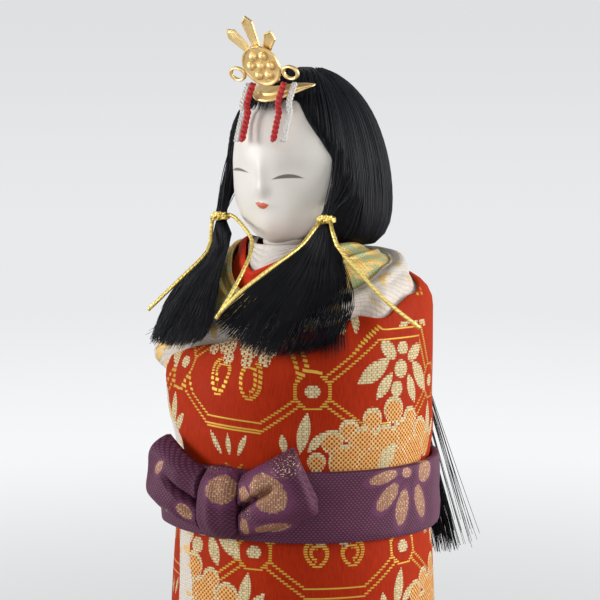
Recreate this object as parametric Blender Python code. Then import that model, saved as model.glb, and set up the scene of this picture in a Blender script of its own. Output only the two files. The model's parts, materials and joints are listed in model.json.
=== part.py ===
"""Standing hina doll, the empress of a tachibina pair, about 200 mm tall.

Frame: the doll faces -Y, its left hand is at +X, +Z is up, and the origin is on the floor
under the axis of its body. Lengths are metres, angles are degrees. An angle round the body
counts from the front, positive towards the doll's left.
"""
import math

import bmesh
import bpy
from mathutils import Vector

# Fits between pieces
SEAM_GAP = 0.0003
REST_GAP = 0.0003
STICK_CLEARANCE = 0.0003
LIFT_CLEARANCE = 0.0006

# Wooden body under the robes
CORE_HALF_WIDTH = 0.0311
CORE_HALF_DEPTH = 0.0283
SHOULDER_HEIGHT = 0.1315
SHOULDER_ROUND = 0.0045
SHOULDER_SWELL = 0.0026
CHEST_SWELL = 0.0006
NECK_RADIUS = 0.0100
NECK_RISE = 0.0077
NECK_HEIGHT = SHOULDER_HEIGHT + NECK_RISE
NECK_DROP = 0.0050
NECK_TOP_RADIUS = 0.0075
NECK_STUMP = 0.0013
NECK_TOP_HEIGHT = NECK_HEIGHT + NECK_STUMP
NECK_FORWARD = 0.0040
HEM_FLARE = 0.0024
HEM_FLARE_HEIGHT = 0.0850
BASE_THICKNESS = 0.0020
BASE_INSET = 0.0010
WAIST_PINCH = 0.0010

# Robes, each one length of cloth wound once round the body and lapped over at the front
UNDER_CLOTH = 0.0008
ROBE_CLOTH = 0.0010
HEM_LIFT = 0.0006
CREAM_COLLAR_SHOWS = 0.0072
CREAM_COLLAR_ROLL = 0.0017
LAP_START = 36.0
CREAM_LAP_SHOWS = 14.0
LOOSE_EDGE = 0.0012
LOOSE_DROP = 0.0235

# Collars between the body and the cream robe
COLLAR_CLOTH = 0.0006
COLLAR_ROLL = 0.0009
GREEN_INNER = 0.0048
GREEN_INNER_FRONT = 0.0052
GREEN_TUCK = 0.0140
COLLAR_ROLL_WIDTH = 0.0030
RED_INNER = 0.0006
RED_INNER_FRONT = 0.0006
RED_TUCK = 0.0062
WRAP_RADIUS = 0.0091
PLEAT_DEPTH = 0.0004
NECK_PLEATS = 5
WRAP_RISE = 0.0023
WRAP_TOP_HEIGHT = NECK_TOP_HEIGHT + WRAP_RISE

# Sash with its bow
SASH_BELOW_SHOULDER = 0.0429
SASH_WIDTH = 0.0176
SASH_HIGH = SHOULDER_HEIGHT - SASH_BELOW_SHOULDER
SASH_LOW = SASH_HIGH - SASH_WIDTH
SASH_CLOTH = 0.0027
SASH_ROLL = 0.0006
SASH_RAMP = 26.0
KNOT_ANGLE = 3.0
KNOT_HALF_WIDTH = 0.0053
KNOT_HALF_HEIGHT = 0.0098
KNOT_DEPTH = 0.0072
KNOT_LIFT = 0.0002
WING_LENGTH = 0.0212
WING_DEPTH = 0.0062
WING_FOLD_DEPTH = 0.0022
WING_ROOT_INSET = 0.0015
WING_ROOT_DROP = 0.0006
WING_TIP_LIFT = 0.0060
WING_TIP_RISE = 0.0079
WING_CORNER = 0.0022

# Head of white-lacquered wood
NECK_SHOWS = 0.0025
CHIN_HEIGHT = NECK_TOP_HEIGHT + NECK_SHOWS
HEAD_HEIGHT = 0.0418
HEAD_HALF_WIDTH = 0.0176
HEAD_HALF_DEPTH = 0.0190
HEAD_BACK = 0.0012
NOSE_LENGTH = 0.0013
NECK_STUB_RADIUS = 0.0072
STICK_RADIUS = 0.0024
STICK_LENGTH = 0.0370
STICK_IN_HEAD = 0.0100

# Hair, thicker than the head by these amounts
HAIR_OVER_CROWN = 0.0036
HAIR_BELOW_CHIN = 0.0006
HAIR_AT_SIDES = 0.0036
HAIR_AT_BACK = 0.0060
HAIR_LOW = CHIN_HEIGHT - HAIR_BELOW_CHIN
HAIR_HEIGHT = HEAD_HEIGHT + HAIR_OVER_CROWN + HAIR_BELOW_CHIN
HAIR_HALF_WIDTH = HEAD_HALF_WIDTH + HAIR_AT_SIDES
HAIR_HALF_DEPTH = HEAD_HALF_DEPTH + HAIR_AT_BACK
HAIR_BACK = 0.0025
HAIRLINE_WIDTH_SHARE = 0.84
HAIRLINE_TOP_SHARE = 0.878
HAIRLINE_SIDE_SHARE = 0.49
HAIRLINE_DEPTH = 0.0040
TIE_OUT = -0.0010
TIE_SIDE = HEAD_HALF_WIDTH + TIE_OUT
TIE_FORWARD = 0.0118
TIE_HEIGHT_SHARE = 0.158
TIE_HEIGHT = CHIN_HEIGHT + HEAD_HEIGHT * TIE_HEIGHT_SHARE
TIE_RADIUS = 0.0014
LOCK_TOP_OUT = 0.0005
LOCK_TOP_BACK = 0.0026
LOCK_LENGTH = 0.0104
LOCK_TOP_WIDTH = 0.0033
LOCK_TOP_DEPTH = 0.0019
LOCK_ROOM_DEPTH = 0.0056
TASSEL_SHOULDER_DROP = 0.0150
TASSEL_DEPTH = 0.0042
TASSEL_SPREAD = 0.0150
TASSEL_ANGLE_RIGHT = -38.0
TASSEL_ANGLE_LEFT = 24.0
TASSEL_BULGE = 0.0015
TASSEL_LEAN_SHARE = 1.3
TASSEL_FULL_SHARE = 0.52
TASSEL_RIDGE_SHARE = 0.1
TAIL_DROP = 0.0200
TAIL_LENGTH = 0.0860
TAIL_TOP_RADIUS = 0.0028
TAIL_SPREAD = 23.5
TAIL_THICKNESS = 0.0032
TAIL_CURVE = 0.0030
TAIL_STEP_SHARE = 1.5
TAIL_GAP = 0.0006

# Gold paper cord tied round the side locks
CORD_DIAMETER = 0.0010
TIE_LOOP_GAP = 0.0003

# Crown of gilt sheet metal
CROWN_PLATE = 0.0008
CROWN_TILT = 30.0
CROWN_OVER_BAND = 0.0003
CROWN_BEFORE_BAND = 0.0013
DISC_HALF_WIDTH = 0.0056
DISC_HALF_HEIGHT = 0.0055
BOSS_RADIUS = 0.0010
BLADE_PLATE = 0.0006
BLADE_REACH = 0.0142
SIDE_BLADE_REACH = 0.0120
BLADE_ROOT_HALF_WIDTH = 0.0009
BLADE_TIP_HALF_WIDTH = 0.0017
BLADE_FAN = 34.0
HUB_SHARE = 0.70
LOOP_RADIUS = 0.0021
LOOP_WIRE = 0.0005
BAND_HALF_WIDTH = 0.0090
BAND_HEIGHT = 0.0042
BAND_PLATE = 0.0009
BAND_BULGE_SHARE = 0.5
BAND_LOW_SHARE = 0.854
BAND_TIP_RISE = 0.0040
POST_RADIUS = 0.0007
POST_LENGTH = 0.0085
POST_BEHIND = 0.0027
POST_CLEARANCE = 0.0003
CROWN_CORD_WIDTH = 0.0019
CORD_OVER_BAND = 0.0007
RED_CORD_SIDE = 0.0048
WHITE_CORD_SIDE = 0.0072
CROWN_CORD_LENGTH = 0.0145
CROWN_CORD_ABOVE_BAND = 0.0048

# How finely the forms are cut
ROUND_SIDES = 30
LAP_COLUMNS = 7
LAP_BEGINS = -336.0

# Shares chosen by hand, of the sizes above
SHOULDER_SHARES = ((-180, 1.0), (-92, 1.0), (-72, 0.93), (-50, 0.85), (-28, 0.84),
                   (0, 0.845), (20, 0.86), (38, 0.885), (55, 0.93), (75, 0.98),
                   (95, 1.0), (180, 1.0))
ROBE_TOP_SHARES = ((-60, 0.828), (-48, 0.845), (-28, 0.868), (-6, 0.886), (18, 0.900),
                   (38, 0.908), (53, 0.922), (68, 0.944), (88, 0.978), (112, 0.996),
                   (150, 1.006), (185, 1.010))
LAP_EDGE_SHARES = ((0.0, -9.0), (0.41, -17.0), (0.53, -20.0), (0.70, -25.0), (0.78, -39.0),
                   (0.88, -53.0), (1.2, -58.0))
COLUMN_ROW_SHARES = (0.0, 0.30, 0.53, 0.61, 0.68, 0.75)
CORNER_ROW_SHARES = (0.0, 0.5, 1.0)
CREAM_ROW_SHARES = (0.07, 0.35, 0.7, 1.0)
TOP_ROWS = 3

SKIN = ((0.80, 0.78, 0.74), 0.45, 0.0)
HAIR = ((0.012, 0.013, 0.020), 0.38, 0.0)
RED_BROCADE = ((0.58, 0.055, 0.015), 0.55, 0.0)
CREAM_BROCADE = ((0.72, 0.62, 0.50), 0.60, 0.0)
GREEN_BROCADE = ((0.22, 0.28, 0.10), 0.55, 0.1)
RED_SILK = ((0.66, 0.05, 0.02), 0.50, 0.0)
WHITE_SILK = ((0.82, 0.79, 0.74), 0.60, 0.0)
PURPLE_BROCADE = ((0.10, 0.025, 0.070), 0.60, 0.0)
GOLD_CORD = ((0.80, 0.52, 0.10), 0.30, 0.9)
GILT = ((0.76, 0.52, 0.20), 0.38, 0.95)
RED_CORD = ((0.55, 0.02, 0.02), 0.60, 0.0)
WHITE_CORD = ((0.85, 0.83, 0.80), 0.60, 0.0)
PALE_WOOD = ((0.62, 0.45, 0.27), 0.60, 0.0)


def clear_scene():
    for item in list(bpy.data.objects):
        bpy.data.objects.remove(item, do_unlink=True)


def material(name, finish):
    colour, roughness, metallic = finish
    made = bpy.data.materials.new(name)
    made.use_nodes = True
    shader = made.node_tree.nodes["Principled BSDF"]
    shader.inputs["Base Color"].default_value = (*colour, 1.0)
    shader.inputs["Roughness"].default_value = roughness
    shader.inputs["Metallic"].default_value = metallic
    return made


def smooth(share):
    share = min(max(share, 0.0), 1.0)
    return share * share * (3.0 - 2.0 * share)


def mix(first, second, share):
    return first + (second - first) * share


def along(table, place):
    """Value of a table of (place, value) pairs, eased between its points."""
    if place <= table[0][0]:
        return table[0][1]
    for (low, first), (high, second) in zip(table, table[1:]):
        if place <= high:
            return mix(first, second, smooth((place - low) / (high - low)))
    return table[-1][1]


def straight(table, place):
    """Value of a table of (place, value) pairs, read along straight lines."""
    if place <= table[0][0]:
        return table[0][1]
    for (low, first), (high, second) in zip(table, table[1:]):
        if place <= high:
            return mix(first, second, (place - low) / (high - low))
    return table[-1][1]


def bump(place, centre, width):
    return math.exp(-((place - centre) / width) ** 2)


# Building closed solids out of loops of points

def hang_on(made, parent):
    """Parents an object where it already is."""
    made.parent = parent
    made.matrix_parent_inverse = parent.matrix_world.inverted()


def add_object(name, mesh, finish, parent):
    made = bpy.data.objects.new(name, mesh)
    bpy.context.scene.collection.objects.link(made)
    mesh.materials.append(material(name, finish))
    for face in mesh.polygons:
        face.use_smooth = True
    mesh.set_sharp_from_angle(angle=math.radians(40))
    if parent:
        hang_on(made, parent)
    return made


def close_with_fan(form, loop, cap=None):
    middle = cap or sum((corner.co for corner in loop), Vector()) / len(loop)
    centre = form.verts.new(middle)
    for near, far in zip(loop, loop[1:] + loop[:1]):
        form.faces.new((near, far, centre))


def close_with_ladder(form, loop):
    half = len(loop) // 2
    for step in range(half - 1):
        form.faces.new((loop[step], loop[step + 1], loop[-step - 2], loop[-step - 1]))


def skinned_mesh(name, loops, ring=False, close=close_with_fan, tips=(None, None)):
    """Mesh through loops of points; a ring joins its last loop to its first."""
    form = bmesh.new()
    rows = [[form.verts.new(point) for point in loop] for loop in loops]
    pairs = list(zip(rows, rows[1:]))
    if ring:
        pairs.append((rows[-1], rows[0]))
    for first, second in pairs:
        for near in range(len(first)):
            far = (near + 1) % len(first)
            form.faces.new((first[near], first[far], second[far], second[near]))
    if not ring:
        for loop, tip in ((rows[0], tips[0]), (rows[-1], tips[1])):
            if close is close_with_fan:
                close(form, loop, tip)
            else:
                close(form, loop)
    bmesh.ops.recalc_face_normals(form, faces=form.faces)
    mesh = bpy.data.meshes.new(name)
    form.to_mesh(mesh)
    form.free()
    return mesh


def oval(centre, across, along_axis, count=ROUND_SIDES):
    """Points of an oval about a centre, from its two half axes given as vectors."""
    points = []
    for step in range(count):
        turn = math.tau * step / count
        points.append(centre + across * math.cos(turn) + along_axis * math.sin(turn))
    return points


def cut(target, tool, solver="EXACT", operation="DIFFERENCE"):
    step = target.modifiers.new(operation.lower(), "BOOLEAN")
    step.operation = operation
    step.solver = solver
    step.object = tool
    tool.hide_render = True
    tool.display_type = "WIRE"
    return step


# The body's surface, which every layer of cloth follows

def core_reach(angle):
    """Point of the body's oval at an angle, and the oval's outward direction there."""
    turn = math.radians(angle)
    point = Vector((CORE_HALF_WIDTH * math.sin(turn), -CORE_HALF_DEPTH * math.cos(turn), 0))
    outward = Vector((math.sin(turn) / CORE_HALF_WIDTH, -math.cos(turn) / CORE_HALF_DEPTH, 0))
    return point, outward.normalized()


def frontness(angle):
    return smooth(1.0 - abs(angle) / 100.0)


def neck_height(angle):
    return NECK_HEIGHT - NECK_DROP * frontness(angle)


def shoulder_line(angle):
    """Height where the body leaves the upright, and the slope up to the neck."""
    point, _ = core_reach(angle)
    level = SHOULDER_HEIGHT * along(SHOULDER_SHARES, angle) - SHOULDER_ROUND
    inward = point.length - NECK_RADIUS
    slope = math.radians(30)
    for _ in range(6):
        turned = math.pi / 2 - slope
        start_in = SHOULDER_ROUND * (1 - math.cos(turned))
        start_up = SHOULDER_ROUND * math.sin(turned)
        slope = math.atan2(neck_height(angle) - level - start_up, inward - start_in)
    return level, slope


def slope_length(angle):
    """Length of the straight run from the shoulder's rounding up to the neck."""
    level, slope = shoulder_line(angle)
    start = level + SHOULDER_ROUND * math.cos(slope)
    return (neck_height(angle) - start) / math.sin(slope)


def outline_at(angle, run):
    """Inset, height and tilt of the body's outline, run metres up from the floor."""
    level, slope = shoulder_line(angle)
    if run <= level:
        return 0.0, run, 0.0
    turned = math.pi / 2 - slope
    arc = SHOULDER_ROUND * turned
    if run <= level + arc:
        turn = (run - level) / SHOULDER_ROUND
        inset = SHOULDER_ROUND * (1 - math.cos(turn))
        return inset, level + SHOULDER_ROUND * math.sin(turn), turn
    beyond = run - level - arc
    swell = mix(SHOULDER_SWELL, CHEST_SWELL, frontness(angle))
    swell *= math.sin(math.pi * min(beyond / slope_length(angle), 1.0))
    inset = SHOULDER_ROUND * (1 - math.cos(turned)) + beyond * math.cos(slope)
    height = level + SHOULDER_ROUND * math.sin(turned) + beyond * math.sin(slope)
    return inset - swell * math.sin(slope), height + swell * math.cos(slope), turned


def run_at_height(angle, height):
    """How far up the outline a height lies, found by halving."""
    low = 0.0
    high = run_at_neck(angle) + SHOULDER_HEIGHT
    for _ in range(30):
        middle = (low + high) / 2
        if outline_at(angle, middle)[1] < height:
            low = middle
        else:
            high = middle
    return (low + high) / 2


def run_at_neck(angle):
    level, slope = shoulder_line(angle)
    return level + SHOULDER_ROUND * (math.pi / 2 - slope) + slope_length(angle)


def column_swell(height):
    """The hem spreads a little and the sash draws the robes in."""
    waist = (SASH_LOW + SASH_HIGH) / 2
    pinch = WAIST_PINCH * bump(height, waist, SASH_HIGH - SASH_LOW)
    flare = HEM_FLARE * smooth(1 - height / HEM_FLARE_HEIGHT)
    return flare - pinch


def on_body(angle, run, offset):
    """Point at an angle and a run up the outline, offset outward from the body."""
    point, outward = core_reach(angle)
    inset, height, tilt = outline_at(angle, run)
    inward = point.length - NECK_RADIUS
    place = point * (1 - inset / point.length)
    place.y -= NECK_FORWARD * inset / inward
    place += outward * (offset * math.cos(tilt) + column_swell(height))
    place.z = height + offset * math.sin(tilt)
    return place


# How the two robes lie over each other

def turn_lift():
    """How much farther out the cloth lies after one turn round the body."""
    return UNDER_CLOTH + ROBE_CLOTH + SEAM_GAP + SEAM_GAP


def wound_offset(unwound):
    """Inner face of the cream robe at an unwound angle, from LAP_START downwards."""
    return SEAM_GAP + turn_lift() * (LAP_START - unwound) / 360.0


def lap_edge(height):
    """Unwound angle of the outer robe's front edge at a height."""
    return along(LAP_EDGE_SHARES, height / SHOULDER_HEIGHT) - 360.0


def edge_looseness(unwound, height):
    """The lapped corner at the chest stands away from the body."""
    nearness = smooth((-unwound - 385.0) / 40.0)
    return LOOSE_EDGE * nearness * smooth(height / (SHOULDER_HEIGHT - LOOSE_DROP) * 3.0 - 2.0)


def robe_top_height(unwound):
    """Height of the outer robe's collar edge; the lower lap mirrors the upper."""
    angle = -unwound if unwound > -180.0 else unwound + 360.0
    return SHOULDER_HEIGHT * straight(ROBE_TOP_SHARES, angle)


def robe_inner(unwound, height):
    """Inner offset of the outer robe."""
    cream = wound_offset(unwound) + edge_looseness(unwound, height)
    return cream + UNDER_CLOTH + SEAM_GAP


def body_angle(unwound):
    return (unwound + 180.0) % 360.0 - 180.0


def robe_runs(angle, start, top):
    """Rows of a robe from its hem to its collar edge."""
    lower = [start + share * SHOULDER_HEIGHT for share in COLUMN_ROW_SHARES]
    level, slope = shoulder_line(angle)
    arc = min(SHOULDER_ROUND * (math.pi / 2 - slope), (top - level) / 2)
    corner = [level + arc * share for share in CORNER_ROW_SHARES]
    last = corner[-1]
    upper = [mix(last, top, (step + 1) / TOP_ROWS) for step in range(TOP_ROWS)]
    return lower + corner + upper


def wound_places(height, shown):
    """Unwound angles of a robe's columns at a height: even turns, then the lap."""
    step = 360.0 / ROUND_SIDES
    count = round((LAP_START - LAP_BEGINS) / step)
    places = [LAP_START - step * column for column in range(count)]
    end = lap_edge(height) - shown
    places += [mix(LAP_BEGINS, end, column / LAP_COLUMNS) for column in range(LAP_COLUMNS + 1)]
    return places


def outer_robe(parent):
    """Red brocade: lapped left over right, its front edge running down in a curve."""
    loops = []
    for column, rough in enumerate(wound_places(SHOULDER_HEIGHT, 0.0)):
        top = run_at_height(body_angle(rough), robe_top_height(rough))
        loop_out = []
        loop_in = []
        for run in robe_runs(body_angle(rough), HEM_LIFT, top):
            unwound = wound_places(run, 0.0)[column]
            angle = body_angle(unwound)
            inner = robe_inner(unwound, run)
            loop_out.append(on_body(angle, run, inner + ROBE_CLOTH))
            loop_in.append(on_body(angle, run, inner))
        loops.append(loop_out + loop_in[::-1])
    mesh = skinned_mesh("robe_outer", loops, close=close_with_ladder)
    return add_object("robe_outer", mesh, RED_BROCADE, parent)


def under_robe(parent):
    """Cream brocade: shows as a strip beside the lap and as a rolled collar above it."""
    loops = []
    for column, rough in enumerate(wound_places(SHOULDER_HEIGHT, CREAM_LAP_SHOWS)):
        angle = body_angle(rough)
        edge = run_at_height(angle, robe_top_height(rough))
        limit = run_at_neck(angle) - GREEN_INNER_FRONT - COLLAR_ROLL_WIDTH
        shows = min(CREAM_COLLAR_SHOWS, limit - edge)
        loop_out = []
        loop_in = []
        runs = robe_runs(angle, HEM_LIFT, edge)
        runs += [edge + shows * part for part in CREAM_ROW_SHARES]
        for run in runs:
            unwound = wound_places(run, CREAM_LAP_SHOWS)[column]
            inner = wound_offset(unwound) + edge_looseness(unwound, run)
            past = (run - edge) / shows - CREAM_ROW_SHARES[0]
            roll = CREAM_COLLAR_ROLL * math.sin(math.pi * min(max(past, 0.0), 0.85))
            loop_out.append(on_body(body_angle(unwound), run, inner + UNDER_CLOTH + roll))
            loop_in.append(on_body(body_angle(unwound), run, inner))
        loops.append(loop_out + loop_in[::-1])
    mesh = skinned_mesh("robe_under", loops, close=close_with_ladder)
    return add_object("robe_under", mesh, CREAM_BROCADE, parent)


# Body and collars

def collar_room():
    """Depth kept under the robes for the two inner collars."""
    return 2 * (COLLAR_CLOTH + SEAM_GAP)


def body_core():
    """Turned and shaped wooden body with a bore for the neck stick."""
    loops = []
    heights = [BASE_THICKNESS + SEAM_GAP]
    heights += [share * SHOULDER_HEIGHT for share in COLUMN_ROW_SHARES[1:]]
    for height in heights:
        loops.append([on_body(angle, height, 0.0) for angle in angles_round(ROUND_SIDES)])
    for step in range(len(CORNER_ROW_SHARES) + TOP_ROWS):
        loop = []
        for angle in angles_round(ROUND_SIDES):
            run = robe_runs(angle, 0.0, run_at_neck(angle))[len(COLUMN_ROW_SHARES) + step]
            level, _ = shoulder_line(angle)
            sunk = collar_room() * smooth((run - level + SHOULDER_ROUND) / SHOULDER_ROUND)
            loop.append(on_body(angle, run, -sunk))
        loops.append(loop)
    root = []
    top = []
    for place, angle in zip(loops[-1], angles_round(ROUND_SIDES)):
        turn = math.radians(angle)
        way = Vector((math.sin(turn), -math.cos(turn), 0))
        root.append(neck_centre(place.z + REST_GAP / 2) + way * NECK_TOP_RADIUS)
        top.append(neck_centre(NECK_TOP_HEIGHT - REST_GAP) + way * NECK_TOP_RADIUS)
    loops += [root, top]
    mesh = skinned_mesh("body_core", loops)
    core = add_object("body_core", mesh, PALE_WOOD, None)
    bore = cylinder("stick_bore", STICK_RADIUS + STICK_CLEARANCE, stick_low() - STICK_CLEARANCE,
                    NECK_TOP_HEIGHT + STICK_RADIUS)
    cut(core, bore)
    return core


def neck_centre(height):
    return Vector((0, -NECK_FORWARD, height))


def angles_round(count):
    return [360.0 * step / count - 180.0 for step in range(count)]


def cylinder(name, radius, low, high):
    """Upright round piece on the neck's axis, from one height to another."""
    loops = []
    for height in (low, high):
        loops.append(oval(neck_centre(height), Vector((radius, 0, 0)),
                          Vector((0, radius, 0)), 20))
    return add_object(name, skinned_mesh(name, loops), PALE_WOOD, None)


def base_disc(parent):
    """Flat oval foot that closes the robes from below."""
    loops = []
    for height in (0.0, BASE_THICKNESS):
        loop = []
        for angle in angles_round(ROUND_SIDES):
            loop.append(on_body(angle, 0.0, -BASE_INSET) + Vector((0, 0, height)))
        loops.append(loop)
    return add_object("base_disc", skinned_mesh("base_disc", loops), PALE_WOOD, parent)


def collar_ring(name, finish, parent, level, inner_side, inner_front, tuck):
    """Folded collar round the neck, rolled at its inner edge, lower at the front."""
    loops = []
    for angle in angles_round(30):
        inner = mix(inner_side, inner_front, frontness(angle))
        neck = run_at_neck(angle)
        bottom = neck - inner - tuck
        top = neck - inner
        bend = top - COLLAR_ROLL_WIDTH
        runs = [bottom, mix(bottom, bend, 0.5), bend]
        runs += [mix(bend, top, step / 4) for step in (1, 2, 3, 4)]
        rolls = [COLLAR_ROLL * smooth((run - top) / COLLAR_ROLL_WIDTH + 1) * (run < top)
                 for run in runs]
        outer = [on_body(angle, run, level + COLLAR_CLOTH + roll)
                 for run, roll in zip(runs, rolls)]
        back = [on_body(angle, run, level) for run in reversed(runs)]
        loops.append(outer + back)
    mesh = skinned_mesh(name, loops, ring=True)
    return add_object(name, mesh, finish, parent)


def green_collar(parent):
    level = -COLLAR_CLOTH
    return collar_ring("collar_green", GREEN_BROCADE, parent, level,
                       GREEN_INNER, GREEN_INNER_FRONT, GREEN_TUCK)


def red_collar(parent):
    level = -COLLAR_CLOTH - COLLAR_CLOTH - SEAM_GAP
    return collar_ring("collar_red", RED_SILK, parent, level,
                       RED_INNER, RED_INNER_FRONT, RED_TUCK)


def neck_wrap(parent):
    """White silk wound round the neck in fine level pleats."""
    loops = []
    rows = NECK_PLEATS * 2
    for angle in angles_round(26):
        turn = math.radians(angle)
        way = Vector((math.sin(turn), -math.cos(turn), 0))
        foot = on_body(angle, run_at_neck(angle), -collar_room())
        low_height = foot.z + SEAM_GAP + SEAM_GAP
        outer = []
        inner = []
        for row in range(rows + 1):
            height = mix(low_height, WRAP_TOP_HEIGHT, row / rows)
            crest = PLEAT_DEPTH * (row % 2)
            outer.append(neck_centre(height) + way * (WRAP_RADIUS + crest))
            if row % 2 == 0:
                inner.append(neck_centre(height) + way * (NECK_TOP_RADIUS + SEAM_GAP))
        loops.append(outer + inner[::-1])
    mesh = skinned_mesh("neck_wrap", loops, ring=True)
    return add_object("neck_wrap", mesh, WHITE_SILK, parent)


# Sash and bow

def sash_inner(angle, height):
    """The sash lies on the robe and ramps up evenly where the laps begin."""
    upper = robe_inner(angle - 360.0, height)
    lower = robe_inner(angle, height)
    edge = lap_edge(height) + 360.0 - CREAM_LAP_SHOWS
    climb = smooth((angle - edge) / SASH_RAMP + 1.0)
    return mix(lower, upper, climb) + ROBE_CLOTH + SEAM_GAP


def sash_outer(angle):
    middle = (SASH_LOW + SASH_HIGH) / 2
    return sash_inner(angle, middle) + SASH_CLOTH


def sash(parent):
    """Purple brocade folded into a flat band with rounded edges."""
    loops = []
    rows = 3
    for angle in angles_round(60):
        outer = []
        inner = []
        for row in range(rows + 1):
            share = row / rows
            height = mix(SASH_LOW, SASH_HIGH, share)
            rounded = SASH_ROLL * (row in (0, rows))
            offset = sash_inner(angle, (SASH_LOW + SASH_HIGH) / 2)
            outer.append(on_body(angle, height, offset + SASH_CLOTH - rounded))
            inner.append(on_body(angle, height, offset))
        loops.append(outer + inner[::-1])
    mesh = skinned_mesh("sash", loops, ring=True)
    return add_object("sash", mesh, PURPLE_BROCADE, parent)


def bow_angle(reach):
    """Angle round the body at a distance from the knot, measured along the sash."""
    return KNOT_ANGLE + math.degrees(reach / (CORE_HALF_DEPTH + KNOT_DEPTH))


def bow_knot(parent):
    """Middle of the bow: a pillow of cloth with a pleat down each side."""
    loops = []
    middle = (SASH_LOW + SASH_HIGH) / 2 + KNOT_LIFT
    columns = 8
    rows = 10
    for column in range(columns + 1):
        across = 2 * column / columns - 1
        angle = bow_angle(across * KNOT_HALF_WIDTH)
        narrow = math.sqrt(1 - 0.55 * across ** 4)
        outer = []
        inner = []
        for row in range(rows + 1):
            up = 2 * row / rows - 1
            height = middle + up * KNOT_HALF_HEIGHT * narrow
            back = sash_outer(angle) + SEAM_GAP
            plump = (1 - abs(up) ** 3) * (1 - 0.75 * abs(across) ** 3)
            pleat = 0.12 * math.cos(across * math.pi * 2.5)
            lift = mix(0.25, 1.0, plump) + pleat * plump
            outer.append(on_body(angle, height, back + KNOT_DEPTH * lift))
            inner.append(on_body(angle, height, back))
        loops.append(outer + inner[::-1])
    mesh = skinned_mesh("bow_knot", loops, close=close_with_ladder)
    return add_object("bow_knot", mesh, PURPLE_BROCADE, parent)


def bow_wing(name, side, parent):
    """Folded wing: grows from the knot to a slanted end, creased along its middle."""
    loops = []
    columns = 12
    rows = 12
    root = KNOT_HALF_WIDTH + SEAM_GAP + SEAM_GAP
    for column in range(columns + 1):
        reach = column / columns
        end = 1 - smooth((reach - 0.85) / 0.15) * 0.12
        low = SASH_LOW + mix(WING_ROOT_INSET, WING_TIP_LIFT, reach ** 1.3)
        high = SASH_HIGH + mix(-WING_ROOT_DROP, WING_TIP_RISE, reach)
        corner = WING_CORNER * smooth((reach - 0.82) / 0.18)
        outer = []
        inner = []
        for row in range(rows + 1):
            up = row / rows
            slant = mix(1.0, 0.84, smooth(up)) * end / 0.88
            angle = bow_angle(side * (root + WING_LENGTH * reach * slant * 0.88))
            height = mix(low + corner, high - corner, up)
            back = sash_outer(angle) + SEAM_GAP
            edge = 1 - abs(2 * up - 1) ** 5
            tip = 1 - 0.7 * smooth((reach - 0.8) / 0.2)
            start = mix(0.65, 1.0, smooth(reach / 0.3))
            lift = mix(0.18, 1.0, edge) * tip * start
            crease = bump(up, mix(0.48, 0.40, reach), 0.10) * (1 - smooth((reach - 0.35) / 0.4))
            depth = WING_DEPTH * lift - WING_FOLD_DEPTH * crease
            outer.append(on_body(angle, height, back + depth))
            inner.append(on_body(angle, height, back))
        loops.append(outer + inner[::-1])
    mesh = skinned_mesh(name, loops, close=close_with_ladder)
    return add_object(name, mesh, PURPLE_BROCADE, parent)


# Head

HEAD_WIDTH_SHARES = ((0.0, 0.16), (0.04, 0.40), (0.12, 0.66), (0.24, 0.86), (0.40, 0.975),
                     (0.55, 1.0), (0.72, 0.93), (0.86, 0.70), (0.95, 0.42), (1.0, 0.14))
HEAD_FRONT_SHARES = ((0.0, 0.66), (0.04, 0.76), (0.12, 0.84), (0.24, 0.905), (0.40, 0.96),
                     (0.55, 0.98), (0.72, 0.90), (0.86, 0.68), (0.95, 0.40), (1.0, 0.10))
HEAD_BACK_SHARES = ((0.0, -0.28), (0.04, -0.05), (0.12, 0.28), (0.24, 0.62), (0.40, 0.90),
                    (0.55, 1.0), (0.72, 0.96), (0.86, 0.74), (0.95, 0.46), (1.0, 0.16))
HEAD_ROW_SHARES = (0.01, 0.045, 0.10, 0.15, 0.20, 0.235, 0.27, 0.32, 0.37, 0.43, 0.50, 0.58,
                   0.67, 0.76, 0.84, 0.91, 0.96, 0.99)
HEAD_SIDES = 32
HEAD_FACE_SHARE = 0.45


def head_relief(turn, up):
    """Nose, brow, eye hollows, lips and chin as a push along the surface."""
    side = math.degrees(turn)
    nose = bump(side, 0, 7.0) * bump(up, 0.325, 0.045)
    bridge = 0.45 * bump(side, 0, 5.0) * bump(up, 0.42, 0.08)
    lips = 0.35 * bump(side, 0, 9.0) * bump(up, 0.235, 0.022)
    chin = 0.40 * bump(side, 0, 15.0) * bump(up, 0.10, 0.06)
    hollows = -0.30 * (bump(side, 27, 13) + bump(side, -27, 13)) * bump(up, 0.45, 0.05)
    cheeks = 0.30 * (bump(side, 34, 16) + bump(side, -34, 16)) * bump(up, 0.28, 0.10)
    return NOSE_LENGTH * (nose + bridge + lips + chin + hollows + cheeks)


def head_point(turn, up, offset=0.0):
    """Point of the head at a turn from the front and a share of its height."""
    width = HEAD_HALF_WIDTH * along(HEAD_WIDTH_SHARES, up)
    front = HEAD_HALF_DEPTH * along(HEAD_FRONT_SHARES, up)
    back = HEAD_HALF_DEPTH * along(HEAD_BACK_SHARES, up)
    middle = (back - front) / 2
    half = (back + front) / 2
    reach_x = width + offset
    reach_y = half + offset
    relief = head_relief(turn, up) * (math.cos(turn) > 0)
    x = (reach_x + relief) * math.sin(turn)
    y = middle - (reach_y + relief) * math.cos(turn) + HEAD_BACK
    stretch = (up - 0.5) * 2 * offset
    return Vector((x, y, CHIN_HEIGHT + HEAD_HEIGHT * up + stretch))


def head_loops(offset):
    """Level loops round the head, with more points in the face than at the back."""
    loops = []
    for up in HEAD_ROW_SHARES:
        loop = []
        for step in range(HEAD_SIDES):
            even = math.tau * step / HEAD_SIDES - math.pi
            turn = even - HEAD_FACE_SHARE * math.sin(even)
            loop.append(head_point(turn, up, offset))
        loops.append(loop)
    return loops


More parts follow.
